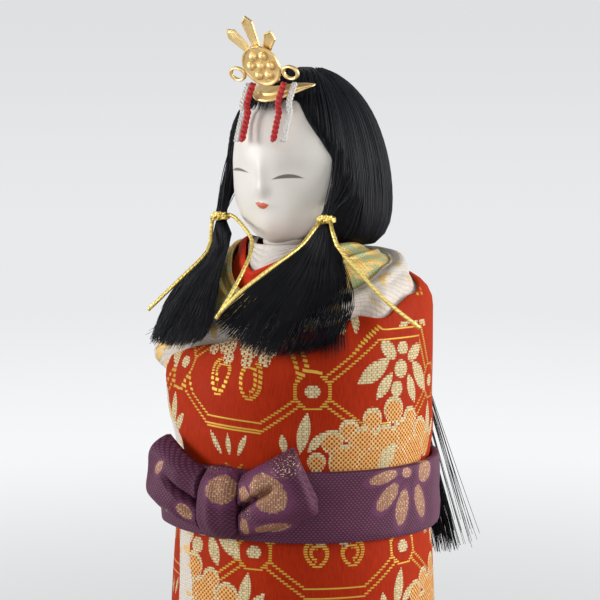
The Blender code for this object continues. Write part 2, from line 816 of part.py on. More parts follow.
def head(parent):
    """Face and skull in one piece with a short neck that sits on the body."""
    made = add_object("head", skinned_mesh("head", head_loops(0.0)), SKIN, parent)
    stub = cylinder("head_neck", NECK_STUB_RADIUS, NECK_TOP_HEIGHT,
                    CHIN_HEIGHT + NECK_STUB_RADIUS)
    cut(made, stub, operation="UNION")
    bore = cylinder("head_bore", STICK_RADIUS + STICK_CLEARANCE,
                    NECK_TOP_HEIGHT - STICK_RADIUS, stick_high() + STICK_CLEARANCE)
    cut(made, bore)
    cut(made, post_bore())
    return made


def stick_low():
    return stick_high() - STICK_LENGTH


def stick_high():
    return NECK_TOP_HEIGHT + STICK_IN_HEAD


def neck_stick(parent):
    """Round stick glued into the head that plugs into the body."""
    made = cylinder("neck_stick", STICK_RADIUS, stick_low(), stick_high())
    hang_on(made, parent)
    return made


# Hair

HAIR_SHARES = ((0.0, 0.80), (0.05, 0.91), (0.14, 0.985), (0.28, 1.0), (0.44, 0.965),
               (0.60, 0.88), (0.74, 0.755), (0.86, 0.575), (0.95, 0.34), (1.0, 0.08))
HAIRLINE_SHARES = ((0.0, 1.0), (0.45, 0.80), (0.85, 0.56), (0.97, 0.44), (1.0, 0.34))


def hair_cap(parent):
    """Combed hair round the skull, open in front along the hairline."""
    loops = []
    rows = 14
    for row in range(rows + 1):
        up = 0.5 - 0.5 * math.cos(math.pi * mix(0.0, 0.97, row / rows))
        reach = straight(HAIR_SHARES, up)
        centre = Vector((0, HAIR_BACK, HAIR_LOW + HAIR_HEIGHT * up))
        loops.append(oval(centre, Vector((HAIR_HALF_WIDTH * reach, 0, 0)),
                          Vector((0, HAIR_HALF_DEPTH * reach, 0)), 32))
    made = add_object("hair_cap", skinned_mesh("hair_cap", loops), HAIR, parent)
    room = add_object("skull_room", skinned_mesh("skull_room", head_loops(SEAM_GAP)),
                      HAIR, None)
    cut(made, room)
    neck_room = cylinder("neck_room", WRAP_RADIUS + COLLAR_ROLL + SEAM_GAP,
                         HAIR_LOW - COLLAR_ROLL, CHIN_HEIGHT + NECK_STUB_RADIUS)
    cut(made, neck_room)
    cut(made, face_window())
    cut(made, lock_room())
    cut(made, post_bore())
    return made


def face_window():
    """Cutter that opens the hair in front of the face, arched along the hairline."""
    low = HAIR_LOW - HAIR_HALF_DEPTH
    half = HEAD_HALF_WIDTH * HAIRLINE_WIDTH_SHARE
    side = CHIN_HEIGHT + HEAD_HEIGHT * HAIRLINE_SIDE_SHARE
    top = CHIN_HEIGHT + HEAD_HEIGHT * HAIRLINE_TOP_SHARE
    points = [(half, low), (half, side)]
    for up, reach in HAIRLINE_SHARES[1:]:
        points.append((half * reach, mix(side, top, up)))
    outline = points + [(-x, z) for x, z in reversed(points)]
    loops = []
    for y in (-HAIR_HALF_DEPTH - HAIR_HALF_DEPTH, -HAIRLINE_DEPTH):
        loops.append([Vector((x, y, z)) for x, z in outline])
    return add_object("face_window", skinned_mesh("face_window", loops), HAIR, None)


def lock_room():
    """Cutter that takes the cap back below the ears, where the side locks hang free."""
    wide = HAIR_HALF_WIDTH + HAIR_HALF_WIDTH
    loops = []
    for height in (HAIR_LOW - HAIR_HALF_DEPTH, TIE_HEIGHT + LOCK_LENGTH + SEAM_GAP):
        loops.append([Vector((-wide, -wide, height)), Vector((wide, -wide, height)),
                      Vector((wide, -LOCK_ROOM_DEPTH, height)),
                      Vector((-wide, -LOCK_ROOM_DEPTH, height))])
    return add_object("lock_room", skinned_mesh("lock_room", loops), HAIR, None)


def side_lock(name, side, parent):
    """Lock of hair that comes down past the ear into the gold tie."""
    loops = []
    steps = 6
    for step in range(steps + 1):
        share = step / steps
        x = side * mix(TIE_SIDE, TIE_SIDE + LOCK_TOP_OUT, share)
        y = -mix(TIE_FORWARD, TIE_FORWARD - LOCK_TOP_BACK, share ** 1.4)
        z = mix(TIE_HEIGHT + CORD_DIAMETER + TIE_LOOP_GAP, TIE_HEIGHT + LOCK_LENGTH, share)
        wide = mix(TIE_RADIUS, LOCK_TOP_WIDTH, smooth(share))
        deep = mix(TIE_RADIUS, LOCK_TOP_DEPTH, share)
        loops.append(oval(Vector((x, y, z)), Vector((0, wide, 0)), Vector((deep, 0, 0)), 12))
    return add_object(name, skinned_mesh(name, loops), HAIR, parent)


def chest_offset(angle):
    """Offset of the chest's uppermost cloth, with room for the tassel to lift past it."""
    cream = wound_offset(angle - 360.0) + UNDER_CLOTH + CREAM_COLLAR_ROLL
    return cream + edge_looseness(angle - 360.0, SHOULDER_HEIGHT) + LIFT_CLEARANCE


def chest_point(angle, height, offset):
    """Point over the chest at a height, offset outward from the body."""
    run = run_at_height(angle, height)
    for _ in range(3):
        tilt = outline_at(angle, run)[2]
        run = run_at_height(angle, height - offset * math.sin(tilt))
    return on_body(angle, run, offset)


def kept_off_chest(place, extra):
    """The same place, moved straight out where it would lie inside the clothed chest."""
    angle = math.degrees(math.atan2(place.x / CORE_HALF_WIDTH, -place.y / CORE_HALF_DEPTH))
    cloth = chest_point(angle, place.z, chest_offset(angle) + extra)
    reach = math.hypot(cloth.x, cloth.y)
    here = math.hypot(place.x, place.y)
    if here >= reach:
        return place
    return Vector((place.x * reach / here, place.y * reach / here, place.z))


def tassel(name, side, lean, parent):
    """Loose end of a side lock below its tie, spread over the chest."""
    tie = tie_centre(side) - Vector((0, 0, CORD_DIAMETER + TIE_LOOP_GAP))
    spread = math.degrees(TASSEL_SPREAD / (CORE_HALF_DEPTH + TASSEL_DEPTH))
    loops = []
    steps = 9
    around = 20
    for step in range(steps + 1):
        share = step / steps
        height = mix(tie.z, SHOULDER_HEIGHT - TASSEL_SHOULDER_DROP, share)
        middle = chest_point(lean, height, chest_offset(lean) + TASSEL_DEPTH / 2)
        spine = tie.lerp(middle, share ** TASSEL_LEAN_SHARE)
        loop = []
        for turn_step in range(around):
            turn = math.tau * turn_step / around
            across = math.cos(turn)
            out = math.sin(turn)
            angle = lean + across * spread
            depth = TASSEL_DEPTH * (0.5 + 0.5 * out * (1 + TASSEL_RIDGE_SHARE * math.cos(7 * turn)))
            hung = chest_point(angle, height, chest_offset(angle) + depth)
            round_tie = Vector((across * TIE_RADIUS, -out * TIE_RADIUS, 0))
            place = spine + round_tie.lerp(hung - middle, share ** TASSEL_FULL_SHARE)
            place.z = height + TASSEL_BULGE * across ** 2 * share
            loop.append(kept_off_chest(place, depth * share))
        loops.append(loop)
    return add_object(name, skinned_mesh(name, loops), HAIR, parent)


def tail(parent):
    """Long back hair, sewn under the nape of the cap and fanned out flat behind the robe."""
    loops = []
    steps = 12
    half_count = 10
    top = HAIR_LOW - SEAM_GAP
    nape = HAIR_BACK + HAIR_HALF_DEPTH * HAIR_SHARES[0][1] - TAIL_THICKNESS
    clear = back_clear()
    for step in range(steps + 1):
        share = (step / steps) ** TAIL_STEP_SHARE
        length = TAIL_LENGTH * share
        outer = []
        inner = []
        for column in range(half_count + 1):
            across = 2 * column / half_count - 1
            swing = math.radians(TAIL_SPREAD * across)
            x = length * math.sin(swing) + TAIL_TOP_RADIUS * across
            z = top - length * math.cos(swing)
            hang = min((top - z) / TAIL_DROP, 1.0)
            y = mix(nape, clear, math.sqrt(1 - (1 - hang) ** 2))
            y -= TAIL_CURVE * across ** 2 * share
            thick = TAIL_THICKNESS * mix(1.0, 0.6, share) * (1 - 0.6 * abs(across) ** 3)
            inner.append(Vector((x, y, z)))
            outer.append(Vector((x, y + thick, z)))
        loops.append(outer + inner[::-1])
    made = skinned_mesh("hair_tail", loops, close=close_with_ladder)
    return add_object("hair_tail", made, HAIR, parent)


def back_clear():
    """How far behind the axis the tail hangs, clear of the robe and the sash."""
    back = on_body(180.0, (SASH_LOW + SASH_HIGH) / 2, sash_outer(180.0))
    return back.y + TAIL_GAP


# Gold cords

def path_mesh(name, route, radius, sides):
    """Round cord along a smooth curve through a route, closed at both ends."""
    points = eased_route(route, radius * 5)
    loops = []
    for place in range(len(points)):
        ahead = points[min(place + 1, len(points) - 1)] - points[max(place - 1, 0)]
        ahead.normalize()
        lateral = ahead.cross(Vector((0, 0, 1)))
        if lateral.length < 0.1:
            lateral = ahead.cross(Vector((1, 0, 0)))
        lateral.normalize()
        loops.append(oval(points[place], lateral * radius, ahead.cross(lateral) * radius, sides))
    return skinned_mesh(name, loops)


def eased_route(route, spacing):
    """Points along a smooth curve through a route's own points."""
    ends = [2 * route[0] - route[1]] + list(route) + [2 * route[-1] - route[-2]]
    points = []
    for before, start, stop, after in zip(ends, ends[1:], ends[2:], ends[3:]):
        count = max(2, int((stop - start).length / spacing))
        for step in range(count):
            t = step / count
            place = 0.5 * (2 * start + (stop - before) * t
                           + (2 * before - 5 * start + 4 * stop - after) * t * t
                           + (3 * start - before - 3 * stop + after) * t ** 3)
            points.append(place)
    points.append(route[-1].copy())
    return points


def tie_centre(side):
    return Vector((side * TIE_SIDE, -TIE_FORWARD, TIE_HEIGHT))


def tie_knot(name, side, parent):
    """Gold cord wound round the lock: a plump ring with a bead where it crosses."""
    centre = tie_centre(side)
    radius = TIE_RADIUS + CORD_DIAMETER * 0.35
    loops = []
    for turn_step in range(16):
        turn = math.tau * turn_step / 16
        way = Vector((math.cos(turn), math.sin(turn), 0))
        plump = CORD_DIAMETER / 2 * (1 + 0.5 * bump(turn, math.tau * 0.75, 0.5))
        middle = centre + way * radius
        loop = []
        for step in range(6):
            roll = math.tau * step / 6
            loop.append(middle + way * plump * math.cos(roll)
                        + Vector((0, 0, plump * math.sin(roll))))
        loops.append(loop)
    mesh = skinned_mesh(name, loops, ring=True)
    return add_object(name, mesh, GOLD_CORD, parent)


# Routes of the stiff cord ends, from the middle of the tie that each comes out of
CORD_ROUTES = {
    "tie_cord_right_outer": (
        (-0.0024, -0.0009, -0.0004), (-0.0014, -0.0027, -0.0042), (0.0000, -0.0062, -0.0089),
        (-0.0034, -0.0132, -0.0158), (-0.0091, -0.0192, -0.0236)),
    "tie_cord_right_inner": (
        (0.0025, -0.0005, 0.0004), (0.0063, -0.0022, -0.0003), (0.0121, -0.0052, -0.0034),
        (0.0155, -0.0077, -0.0057), (0.0170, -0.0102, -0.0085), (0.0179, -0.0152, -0.0134),
        (0.0174, -0.0202, -0.0193), (0.0159, -0.0232, -0.0241)),
    "tie_cord_left_inner": (
        (-0.0004, -0.0028, -0.0005), (-0.0012, -0.0072, -0.0046), (-0.0014, -0.0112, -0.0069),
        (-0.0040, -0.0177, -0.0110), (-0.0101, -0.0237, -0.0175), (-0.0143, -0.0262, -0.0227)),
    "tie_cord_left_outer": (
        (0.0020, -0.0017, -0.0004), (0.0057, -0.0042, -0.0061), (0.0107, -0.0037, -0.0113),
        (0.0178, -0.0017, -0.0189), (0.0254, 0.0028, -0.0260)),
}


def tie_cords(parent):
    """Four free ends of the gold cords, two from each tie."""
    for name, route in CORD_ROUTES.items():
        side = 1 if "left" in name else -1
        tie = tie_centre(side)
        cord_object(name, [tie + Vector(point) for point in route], parent)


def cord_object(name, route, parent, finish=GOLD_CORD, diameter=CORD_DIAMETER):
    """Cord as a curve with a round section, with a point every few diameters."""
    curve = bpy.data.curves.new(name, "CURVE")
    curve.dimensions = "3D"
    curve.bevel_depth = diameter / 2
    curve.bevel_resolution = 2
    curve.use_fill_caps = True
    points = eased_route(route, diameter * 2.5)
    spline = curve.splines.new("POLY")
    spline.points.add(len(points) - 1)
    for slot, point in zip(spline.points, points):
        slot.co = (*point, 1.0)
    curve.materials.append(material(name, finish))
    made = bpy.data.objects.new(name, curve)
    bpy.context.scene.collection.objects.link(made)
    hang_on(made, parent)
    return made


# Crown

def band_low():
    return CHIN_HEIGHT + HEAD_HEIGHT * BAND_LOW_SHARE


def band_reach():
    """How far the band's middle stands out from the hair behind it."""
    return SEAM_GAP + BAND_PLATE * (1 + BAND_BULGE_SHARE)


def crown_centre():
    """Middle of the disc, whose foot stands just over and before the band."""
    tilt = math.radians(CROWN_TILT)
    top = band_low() + BAND_HEIGHT
    y = hair_front(0.0, top) - band_reach() - CROWN_BEFORE_BAND
    z = top + CROWN_OVER_BAND
    return y - DISC_HALF_HEIGHT * math.sin(tilt), z + DISC_HALF_HEIGHT * math.cos(tilt)


def crown_point(across, up, out):
    """Point in the crown's own plane: across it, up it, and out from its face."""
    tilt = math.radians(CROWN_TILT)
    centre_y, centre_z = crown_centre()
    y = centre_y - up * math.sin(tilt) - out * math.cos(tilt)
    z = centre_z + up * math.cos(tilt) - out * math.sin(tilt)
    return Vector((across, y, z))


def plate(name, outline, near, far, parent, finish=GILT):
    """Flat piece of sheet metal in the crown's plane, between two depths."""
    loops = [[crown_point(across, up, out) for across, up in outline] for out in (near, far)]
    return add_object(name, skinned_mesh(name, loops), finish, parent)


def crown_disc(parent):
    """Round plate carrying seven small bosses."""
    outline = []
    for step in range(32):
        turn = math.tau * step / 32
        outline.append((DISC_HALF_WIDTH * math.cos(turn), DISC_HALF_HEIGHT * math.sin(turn)))
    made = plate("crown_disc", outline, 0.0, CROWN_PLATE, parent)
    spread = DISC_HALF_WIDTH * 0.55
    places = [(0.0, 0.0)]
    for step in range(6):
        turn = math.tau * step / 6
        places.append((spread * math.cos(turn), spread * math.sin(turn)))
    for place, (across, up) in enumerate(places):
        loops = []
        for level in (-0.5, 0.35, 0.75, 0.96):
            reach = BOSS_RADIUS * math.sqrt(max(1 - max(level, 0.0) ** 2, 0.0))
            out = CROWN_PLATE + BOSS_RADIUS * level * 0.9
            loops.append([crown_point(across + reach * math.cos(math.tau * step / 10),
                                      up + reach * math.sin(math.tau * step / 10), out)
                          for step in range(10)])
        mesh = skinned_mesh(f"boss_{place}", loops)
        cut(made, add_object(f"boss_{place}", mesh, GILT, None), operation="UNION")
    return made


def blade_corners(turn, reach):
    """Corners of one blade: narrow root, wider shoulders and a pointed tip."""
    start = DISC_HALF_HEIGHT * HUB_SHARE
    corners = ((-BLADE_ROOT_HALF_WIDTH, start),
               (-BLADE_TIP_HALF_WIDTH, reach - BLADE_TIP_HALF_WIDTH), (0.0, reach),
               (BLADE_TIP_HALF_WIDTH, reach - BLADE_TIP_HALF_WIDTH),
               (BLADE_ROOT_HALF_WIDTH, start))
    side = math.radians(turn)
    return [(x * math.cos(side) + y * math.sin(side), -x * math.sin(side) + y * math.cos(side))
            for x, y in corners]


def crown_blades(parent):
    """Three tapering blades that fan up from behind the disc, cut from one plate."""
    outline = []
    for turn, reach in ((-BLADE_FAN, SIDE_BLADE_REACH), (0.0, BLADE_REACH),
                        (BLADE_FAN, SIDE_BLADE_REACH)):
        outline += blade_corners(turn, reach)
    hub = DISC_HALF_HEIGHT * HUB_SHARE
    for step in range(1, 10):
        turn = math.radians(mix(BLADE_FAN * 1.4, 360 - BLADE_FAN * 1.4, step / 10))
        outline.append((hub * math.sin(turn), hub * math.cos(turn)))
    back = -SEAM_GAP - BLADE_PLATE
    loops = [[crown_point(across, up, out) for across, up in outline]
             for out in (back, -SEAM_GAP)]
    tips = (crown_point(0, 0, back), crown_point(0, 0, -SEAM_GAP))
    mesh = skinned_mesh("crown_blades", loops, tips=tips)
    return add_object("crown_blades", mesh, GILT, parent)


def crown_loop(name, side, parent):
    """Small wire eye at the side of the disc, for the crown's cords."""
    centre_x = side * (DISC_HALF_WIDTH + SEAM_GAP + LOOP_WIRE + LOOP_RADIUS)
    loops = []
    for step in range(16):
        turn = math.tau * step / 16
        loop = []
        for roll_step in range(6):
            roll = math.tau * roll_step / 6
            reach = LOOP_RADIUS + LOOP_WIRE * math.cos(roll)
            loop.append(crown_point(centre_x + reach * math.cos(turn),
                                    reach * math.sin(turn) * 0.8 - LOOP_RADIUS,
                                    CROWN_PLATE / 2 + LOOP_WIRE * math.sin(roll)))
        loops.append(loop)
    return add_object(name, skinned_mesh(name, loops, ring=True), GILT, parent)


def hair_front(x, height):
    """How far forward the hair and brow reach at a place on the forehead."""
    up = (height - HAIR_LOW) / HAIR_HEIGHT
    reach = straight(HAIR_SHARES, up)
    share = min(abs(x) / (HAIR_HALF_WIDTH * reach), 0.98)
    hair = HAIR_BACK - HAIR_HALF_DEPTH * reach * math.sqrt(1 - share * share)
    brow_up = min((height - CHIN_HEIGHT) / HEAD_HEIGHT, 0.98)
    width = HEAD_HALF_WIDTH * along(HEAD_WIDTH_SHARES, brow_up)
    turn = math.asin(min(abs(x) / width, 0.98))
    return min(hair, head_point(turn, brow_up).y)


def crown_band(parent):
    """Crescent that hugs the front of the hair under the disc."""
    loops = []
    steps = 16
    for step in range(steps + 1):
        across = 2 * step / steps - 1
        x = BAND_HALF_WIDTH * across
        low = band_low() + BAND_TIP_RISE * across ** 2
        tall = BAND_HEIGHT * mix(1.0, 0.12, abs(across) ** 1.6)
        outer = []
        inner = []
        for row in range(4):
            z = low + tall * row / 3
            back = hair_front(x, z) - SEAM_GAP
            bulge = 1 + BAND_BULGE_SHARE * (row in (1, 2))
            inner.append(Vector((x, back, z)))
            outer.append(Vector((x, back - BAND_PLATE * bulge, z)))
        loops.append(outer + inner[::-1])
    mesh = skinned_mesh("crown_band", loops, close=close_with_ladder)
    return add_object("crown_band", mesh, GILT, parent)


def crown_post_route():
    """The pin leaves the back of the blades and turns down into the hair."""
    root = -DISC_HALF_HEIGHT * HUB_SHARE / 2
    behind = -SEAM_GAP - BLADE_PLATE - SEAM_GAP
    far = behind - POST_BEHIND
    return [crown_point(0, root, behind), crown_point(0, root, (behind + far) / 2),
            crown_point(0, root - POST_RADIUS, far + POST_RADIUS / 2),
            crown_point(0, root - POST_RADIUS * 3, far),
            crown_point(0, root - POST_LENGTH, far)]


def crown_post(parent):
    """Bent pin behind the disc that holds the crown in the hair."""
    mesh = path_mesh("crown_post", crown_post_route(), POST_RADIUS, 10)
    return add_object("crown_post", mesh, GILT, parent)


def post_bore():
    """Straight hole in hair and skull that the pin slides out of."""
    route = crown_post_route()
    way = crown_axis()
    side = Vector((1, 0, 0))
    other = way.cross(side)
    reach = POST_RADIUS + POST_CLEARANCE
    loops = [oval(point, side * reach, other * reach, 12)
             for point in (route[-1] - way * POST_CLEARANCE, route[-1] + way * POST_LENGTH * 1.4)]
    return add_object("post_bore", skinned_mesh("post_bore", loops), HAIR, None)


def crown_axis():
    """Way the crown pulls off: up and forward, along its own plane."""
    tilt = math.radians(CROWN_TILT)
    return Vector((0, -math.sin(tilt), math.cos(tilt)))


def crown_cord(name, finish, x, parent):
    """Short braid that hangs from the crown over the forehead."""
    radius = CROWN_CORD_WIDTH / 2
    loops = []
    steps = 8
    top = band_low() + CROWN_CORD_ABOVE_BAND
    for step in range(steps + 1):
        z = top - CROWN_CORD_LENGTH * step / steps
        clear = band_reach() + CORD_OVER_BAND
        over_band = smooth((z - band_low() + radius) / radius)
        y = hair_front(x, z) - radius * 0.7 - mix(SEAM_GAP, clear, over_band)
        loops.append(oval(Vector((x, y, z)), Vector((radius, 0, 0)),
                          Vector((0, radius * 0.6, 0)), 10))
    return add_object(name, skinned_mesh(name, loops), finish, parent)


def empty(name, place, parent=None):
    made = bpy.data.objects.new(name, None)
    bpy.context.scene.collection.objects.link(made)
    made.location = place
    if parent:
        hang_on(made, parent)
    bpy.context.view_layer.update()
    return made


def build():
    clear_scene()
    core = body_core()
    bpy.context.view_layer.update()
    base_disc(core)
    under_robe(core)
    outer_robe(core)
    green_collar(core)
    red_collar(core)
    neck_wrap(core)
    sash(core)
    bow_knot(core)
    bow_wing("bow_wing_right", -1, core)
    bow_wing("bow_wing_left", 1, core)

    head_axis = empty("head_axis", (0, -NECK_FORWARD, NECK_TOP_HEIGHT))
    head(head_axis)
    neck_stick(head_axis)
    hair_cap(head_axis)
    side_lock("side_lock_right", -1, head_axis)
    side_lock("side_lock_left", 1, head_axis)
    tassel("tassel_right", -1, TASSEL_ANGLE_RIGHT, head_axis)
    tassel("tassel_left", 1, TASSEL_ANGLE_LEFT, head_axis)
    tail(head_axis)
    tie_knot("tie_knot_right", -1, head_axis)
    tie_knot("tie_knot_left", 1, head_axis)
    tie_cords(head_axis)

    crown_axis_empty = empty("crown_seat", crown_point(0, 0, 0), head_axis)
    crown_disc(crown_axis_empty)
    crown_blades(crown_axis_empty)
    crown_band(crown_axis_empty)
    crown_post(crown_axis_empty)
    crown_loop("crown_loop_right", -1, crown_axis_empty)
    crown_loop("crown_loop_left", 1, crown_axis_empty)
    crown_cord("crown_cord_red_right", RED_CORD, -RED_CORD_SIDE, crown_axis_empty)
    crown_cord("crown_cord_red_left", RED_CORD, RED_CORD_SIDE, crown_axis_empty)
    crown_cord("crown_cord_white_right", WHITE_CORD, -WHITE_CORD_SIDE, crown_axis_empty)
    crown_cord("crown_cord_white_left", WHITE_CORD, WHITE_CORD_SIDE, crown_axis_empty)


build()
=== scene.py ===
"""Dressed hina doll: cloth, hair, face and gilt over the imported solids.

Lengths are metres and angles are degrees. An angle round the body counts from the front,
positive towards the doll's left hand at +X. The doll faces -Y.
"""

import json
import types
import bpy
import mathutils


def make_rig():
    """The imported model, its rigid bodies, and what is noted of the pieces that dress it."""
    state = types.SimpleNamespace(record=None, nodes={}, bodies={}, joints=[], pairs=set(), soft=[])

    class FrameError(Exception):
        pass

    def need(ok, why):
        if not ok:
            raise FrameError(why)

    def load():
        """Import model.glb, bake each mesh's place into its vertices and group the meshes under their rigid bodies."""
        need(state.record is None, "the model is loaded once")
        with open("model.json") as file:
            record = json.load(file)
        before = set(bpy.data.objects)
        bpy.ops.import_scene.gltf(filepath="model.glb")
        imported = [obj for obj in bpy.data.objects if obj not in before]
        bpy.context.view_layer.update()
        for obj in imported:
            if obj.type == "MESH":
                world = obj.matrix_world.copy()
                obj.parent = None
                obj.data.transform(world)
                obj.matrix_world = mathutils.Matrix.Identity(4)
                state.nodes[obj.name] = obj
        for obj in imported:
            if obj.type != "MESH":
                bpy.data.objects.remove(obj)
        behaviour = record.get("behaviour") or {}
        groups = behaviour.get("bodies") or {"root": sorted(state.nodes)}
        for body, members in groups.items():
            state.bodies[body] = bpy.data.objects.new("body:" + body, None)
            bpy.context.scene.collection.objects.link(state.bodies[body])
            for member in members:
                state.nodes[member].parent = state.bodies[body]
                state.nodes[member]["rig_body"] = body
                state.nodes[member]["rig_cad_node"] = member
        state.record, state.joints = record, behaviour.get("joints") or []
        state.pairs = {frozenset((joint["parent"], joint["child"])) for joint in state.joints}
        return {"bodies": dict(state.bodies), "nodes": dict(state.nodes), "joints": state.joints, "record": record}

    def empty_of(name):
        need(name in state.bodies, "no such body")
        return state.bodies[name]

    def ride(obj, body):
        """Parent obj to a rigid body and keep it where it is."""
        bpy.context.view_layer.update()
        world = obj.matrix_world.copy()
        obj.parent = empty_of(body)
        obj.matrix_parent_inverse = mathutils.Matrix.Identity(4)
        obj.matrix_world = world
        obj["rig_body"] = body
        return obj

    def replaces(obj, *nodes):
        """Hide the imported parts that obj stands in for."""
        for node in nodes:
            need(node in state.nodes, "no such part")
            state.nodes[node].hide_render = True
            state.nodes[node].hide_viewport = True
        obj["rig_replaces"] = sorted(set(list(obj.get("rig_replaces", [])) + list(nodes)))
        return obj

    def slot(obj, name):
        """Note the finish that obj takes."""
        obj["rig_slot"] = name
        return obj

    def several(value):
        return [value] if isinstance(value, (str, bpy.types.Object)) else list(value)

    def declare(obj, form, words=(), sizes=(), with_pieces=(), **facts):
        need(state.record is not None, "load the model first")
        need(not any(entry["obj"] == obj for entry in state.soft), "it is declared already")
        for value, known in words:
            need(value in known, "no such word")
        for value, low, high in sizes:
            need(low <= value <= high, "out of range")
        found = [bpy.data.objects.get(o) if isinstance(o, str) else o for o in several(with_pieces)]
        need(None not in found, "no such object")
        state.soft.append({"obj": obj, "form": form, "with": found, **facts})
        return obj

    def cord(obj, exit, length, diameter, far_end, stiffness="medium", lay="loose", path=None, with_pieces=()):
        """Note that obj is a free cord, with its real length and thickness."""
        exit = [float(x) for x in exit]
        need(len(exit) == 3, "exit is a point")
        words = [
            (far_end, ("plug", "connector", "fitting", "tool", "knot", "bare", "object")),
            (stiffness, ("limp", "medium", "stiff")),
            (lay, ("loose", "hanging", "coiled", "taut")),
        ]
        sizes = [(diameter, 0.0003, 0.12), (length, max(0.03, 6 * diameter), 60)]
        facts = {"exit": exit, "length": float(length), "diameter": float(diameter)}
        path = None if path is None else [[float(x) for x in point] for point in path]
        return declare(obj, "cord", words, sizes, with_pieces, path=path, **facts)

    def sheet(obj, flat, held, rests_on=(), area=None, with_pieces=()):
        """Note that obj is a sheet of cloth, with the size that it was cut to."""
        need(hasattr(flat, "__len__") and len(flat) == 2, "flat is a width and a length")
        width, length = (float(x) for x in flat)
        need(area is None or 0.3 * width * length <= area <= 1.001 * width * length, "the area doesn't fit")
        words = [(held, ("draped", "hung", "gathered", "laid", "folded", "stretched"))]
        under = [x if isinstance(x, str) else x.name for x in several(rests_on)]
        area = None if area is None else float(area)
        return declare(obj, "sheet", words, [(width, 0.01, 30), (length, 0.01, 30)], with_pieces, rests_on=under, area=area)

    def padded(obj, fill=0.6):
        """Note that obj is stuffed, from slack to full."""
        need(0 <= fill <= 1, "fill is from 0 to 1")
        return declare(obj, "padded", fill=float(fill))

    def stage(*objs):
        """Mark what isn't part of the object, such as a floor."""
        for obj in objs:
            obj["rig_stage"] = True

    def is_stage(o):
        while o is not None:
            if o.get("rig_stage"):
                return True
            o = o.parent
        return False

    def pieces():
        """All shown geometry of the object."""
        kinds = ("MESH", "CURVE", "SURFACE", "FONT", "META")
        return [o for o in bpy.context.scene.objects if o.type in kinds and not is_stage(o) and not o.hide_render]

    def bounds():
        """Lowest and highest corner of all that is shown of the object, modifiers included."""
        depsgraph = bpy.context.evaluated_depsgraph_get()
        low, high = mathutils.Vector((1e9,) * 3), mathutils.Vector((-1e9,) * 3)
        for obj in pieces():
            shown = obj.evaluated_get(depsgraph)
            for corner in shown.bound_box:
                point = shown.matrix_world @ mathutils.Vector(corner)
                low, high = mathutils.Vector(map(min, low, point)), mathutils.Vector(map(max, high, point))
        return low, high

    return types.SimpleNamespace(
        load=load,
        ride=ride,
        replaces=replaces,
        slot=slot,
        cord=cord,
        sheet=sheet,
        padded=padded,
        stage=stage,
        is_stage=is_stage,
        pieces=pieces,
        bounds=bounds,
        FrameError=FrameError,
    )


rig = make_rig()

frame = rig.load()
CAD_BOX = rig.bounds()

import json
import logging
import math
import random
from contextlib import contextmanager
from dataclasses import dataclass, field
from enum import Enum
from functools import lru_cache
from typing import Callable, Iterator, Sequence

import bmesh
import bpy
from mathutils import Vector, noise

log = logging.getLogger("hina_doll")

MM = 0.001
SEAM_GAP = 0.0003
MERGE = 1e-6
Colour = tuple[float, float, float]
Table = tuple[tuple[float, float], ...]
EdgeTable = tuple[tuple[float, float, float], ...]


class Turn(Enum):
    """Which of the doll's own hands a piece is on."""

    RIGHT = -1
    LEFT = 1


# Numbers eased along tables

def smooth(share: float) -> float:
    """Ease a share between 0 and 1."""
    share = min(max(share, 0.0), 1.0)
    return share * share * (3.0 - 2.0 * share)


def mix(first: float, second: float, share: float) -> float:
    """Value between two others."""
    return first + (second - first) * share


def read_table(table: Table, place: float, ease: bool = True) -> float:
    """Read a table of places and values between its rows.

    Args:
        table: rows of place and value, in rising order.
        place: where to read it.
        ease: whether the values ease into each row or run straight.

    Returns:
        The value at that place.
    """
    if place <= table[0][0]:
        return table[0][1]
    for (low, first), (high, second) in zip(table, table[1:]):
        if place <= high:
            share = (place - low) / (high - low)
            return mix(first, second, smooth(share) if ease else share)
    return table[-1][1]


def flow_table(table: Table, place: float) -> float:
    """Read a table along one smooth curve through all its rows.

    Args:
        table: rows of place and value.
        place: where to read it.

    Returns:
        The value there.
    """
    count = len(table)
    place = min(max(place, table[0][0]), table[-1][0])
    step = 0
    while step < count - 2 and place > table[step + 1][0]:
        step += 1

    def slope(at: int) -> float:
        """Slope of the curve at a row."""
        low, high = max(at - 1, 0), min(at + 1, count - 1)
        return (table[high][1] - table[low][1]) / (table[high][0] - table[low][0])

    (x0, y0), (x1, y1) = table[step], table[step + 1]
    run = x1 - x0
    share = (place - x0) / run
    back = 1 - share
    return (back * back * (1 + 2 * share) * y0 + share * share * (3 - 2 * share) * y1
            + share * back * run * (back * slope(step) - share * slope(step + 1)))


def hump(place: float, centre: float, width: float) -> float:
    """Bell-shaped rise round a centre."""
    return math.exp(-((place - centre) / width) ** 2)


def direction(angle: float) -> Vector:
    """Level direction at an angle from the front."""
    turn = math.radians(angle)
    return Vector((math.sin(turn), -math.cos(turn), 0))


def ring_angle(across: float) -> float:
    """Angle from the front at a share of a whole ring that is open behind."""
    return round(360.0 * across - 180.0, 4)


def tapering(radius: float, loss: float = 0.0, power: float = 1.0) -> Callable[[float], float]:
    """Radius of a tube that loses some of its width towards its end."""
    return lambda share: radius * (1 - loss * share ** power)


# The body under all the layers, and how the robes are wound round it

